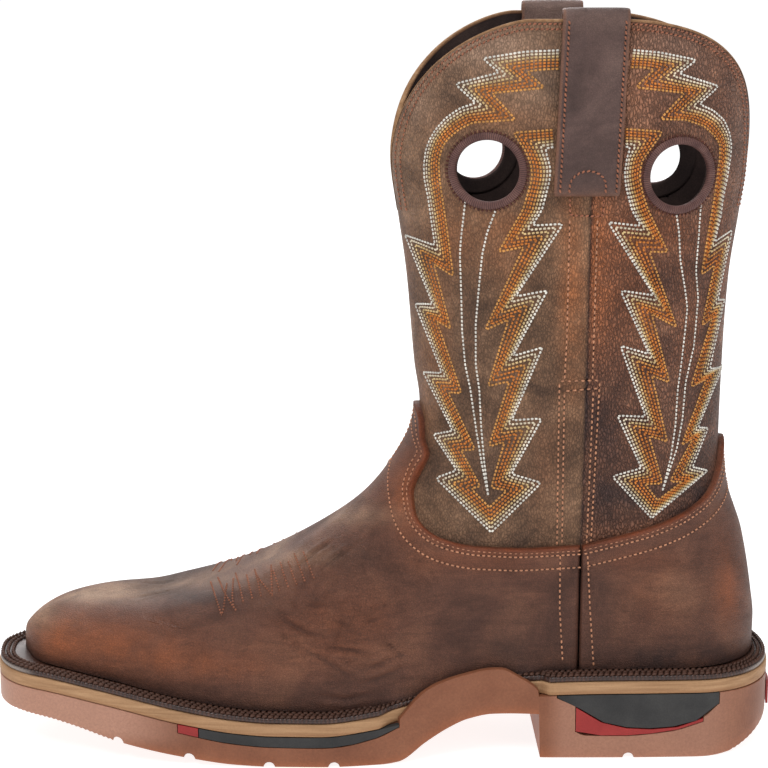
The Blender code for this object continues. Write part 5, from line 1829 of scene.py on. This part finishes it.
sewEdges()
for row in sideSeamRows:
    sewPixels(row, "copper", "seam")
for row in footSeamRows:
    sewPixels(row, "copper", "seam", boot["overlay"])
sewPixels(strapBox, "russet", "crossed")
for row in toeStitches:
    for points, normals in castRows(vampSurface, row):
        sew(points, normals, "russet", **rowSizes["dots"])
for bootSide in sideSign:
    sewStrap(bootSide)
    for holeName in pullHoles:
        sewPicots(bootSide, holeName)
sewWelt()
makeStitches()
print("stitching ready")


# Floor, light and camera

studio = {
    "floor": 6.0, "floorColour": (0.45, 0.45, 0.45, 1.0), "floorRough": 0.9, "floorGlow": 0.85,
    "white": (1.0, 1.0, 1.0, 1.0), "sky": 0.4, "aim": (0.0, 0.0, 0.12), "sensor": 36.0,
    "keyPlace": (-0.7, -1.2, 1.9), "keyPower": 22.0, "keySize": 0.9,
    "fillPlace": (1.3, -1.1, 1.2), "fillPower": 8.0, "fillSize": 1.6,
    "topPlace": (0.0, 0.3, 2.2), "topPower": 14.0, "topSize": 2.2,
    "backPlace": (-0.2, 1.5, 1.2), "backPower": 20.0, "backSize": 1.2,
}


def addLight(name, place, power, size):
    lamp = bpy.data.lights.new(name, "AREA")
    lamp.energy = power
    lamp.size = size
    holder = bpy.data.objects.new(name, lamp)
    holder.location = place
    aim = Vector(studio["aim"]) - Vector(place)
    holder.rotation_mode = "QUATERNION"
    holder.rotation_quaternion = aim.to_track_quat("-Z", "Y")
    bpy.context.scene.collection.objects.link(holder)


def makeStudio():
    half = studio["floor"]
    mesh = bpy.data.meshes.new("floor")
    corners = [(-half, -half, 0), (half, -half, 0), (half, 2 * half, 0), (-half, 2 * half, 0)]
    mesh.from_pydata(corners, [], [(0, 1, 2, 3)])
    material, tree, shader = newMaterial("paleFloor")
    plug(tree, shader, {
        "Base Color": studio["floorColour"], "Roughness": studio["floorRough"], "Specular IOR Level": 0.0,
        "Emission Color": studio["white"], "Emission Strength": studio["floorGlow"],
    })
    mesh.materials.append(material)
    floor = bpy.data.objects.new("floor", mesh)
    bpy.context.scene.collection.objects.link(floor)
    for name in ("key", "fill", "top", "back"):
        addLight(name, studio[name + "Place"], studio[name + "Power"], studio[name + "Size"])
    world = bpy.data.worlds.new("studio")
    world.use_nodes = True
    sky = world.node_tree.nodes["Background"]
    plug(world.node_tree, sky, {"Color": studio["white"], "Strength": studio["sky"]})
    bpy.context.scene.world = world
    bpy.context.scene.view_settings.view_transform = "Standard"


def makeCamera():
    lens = bpy.data.cameras.new("photo camera")
    lens.sensor_width = studio["sensor"]
    lens.lens = studio["sensor"] * photo["focal"] / photo["image"]
    lens.clip_start = 0.05
    lens.clip_end = 50.0
    camera = bpy.data.objects.new("photo camera", lens)
    right, ahead, up = cameraAxes()
    turn = Matrix((right, up, -ahead)).transposed()
    camera.matrix_world = Matrix.Translation(Vector(photo["place"]) * mm) @ turn.to_4x4()
    bpy.context.scene.collection.objects.link(camera)
    bpy.context.scene.camera = camera


makeStudio()
makeCamera()
print("studio ready")
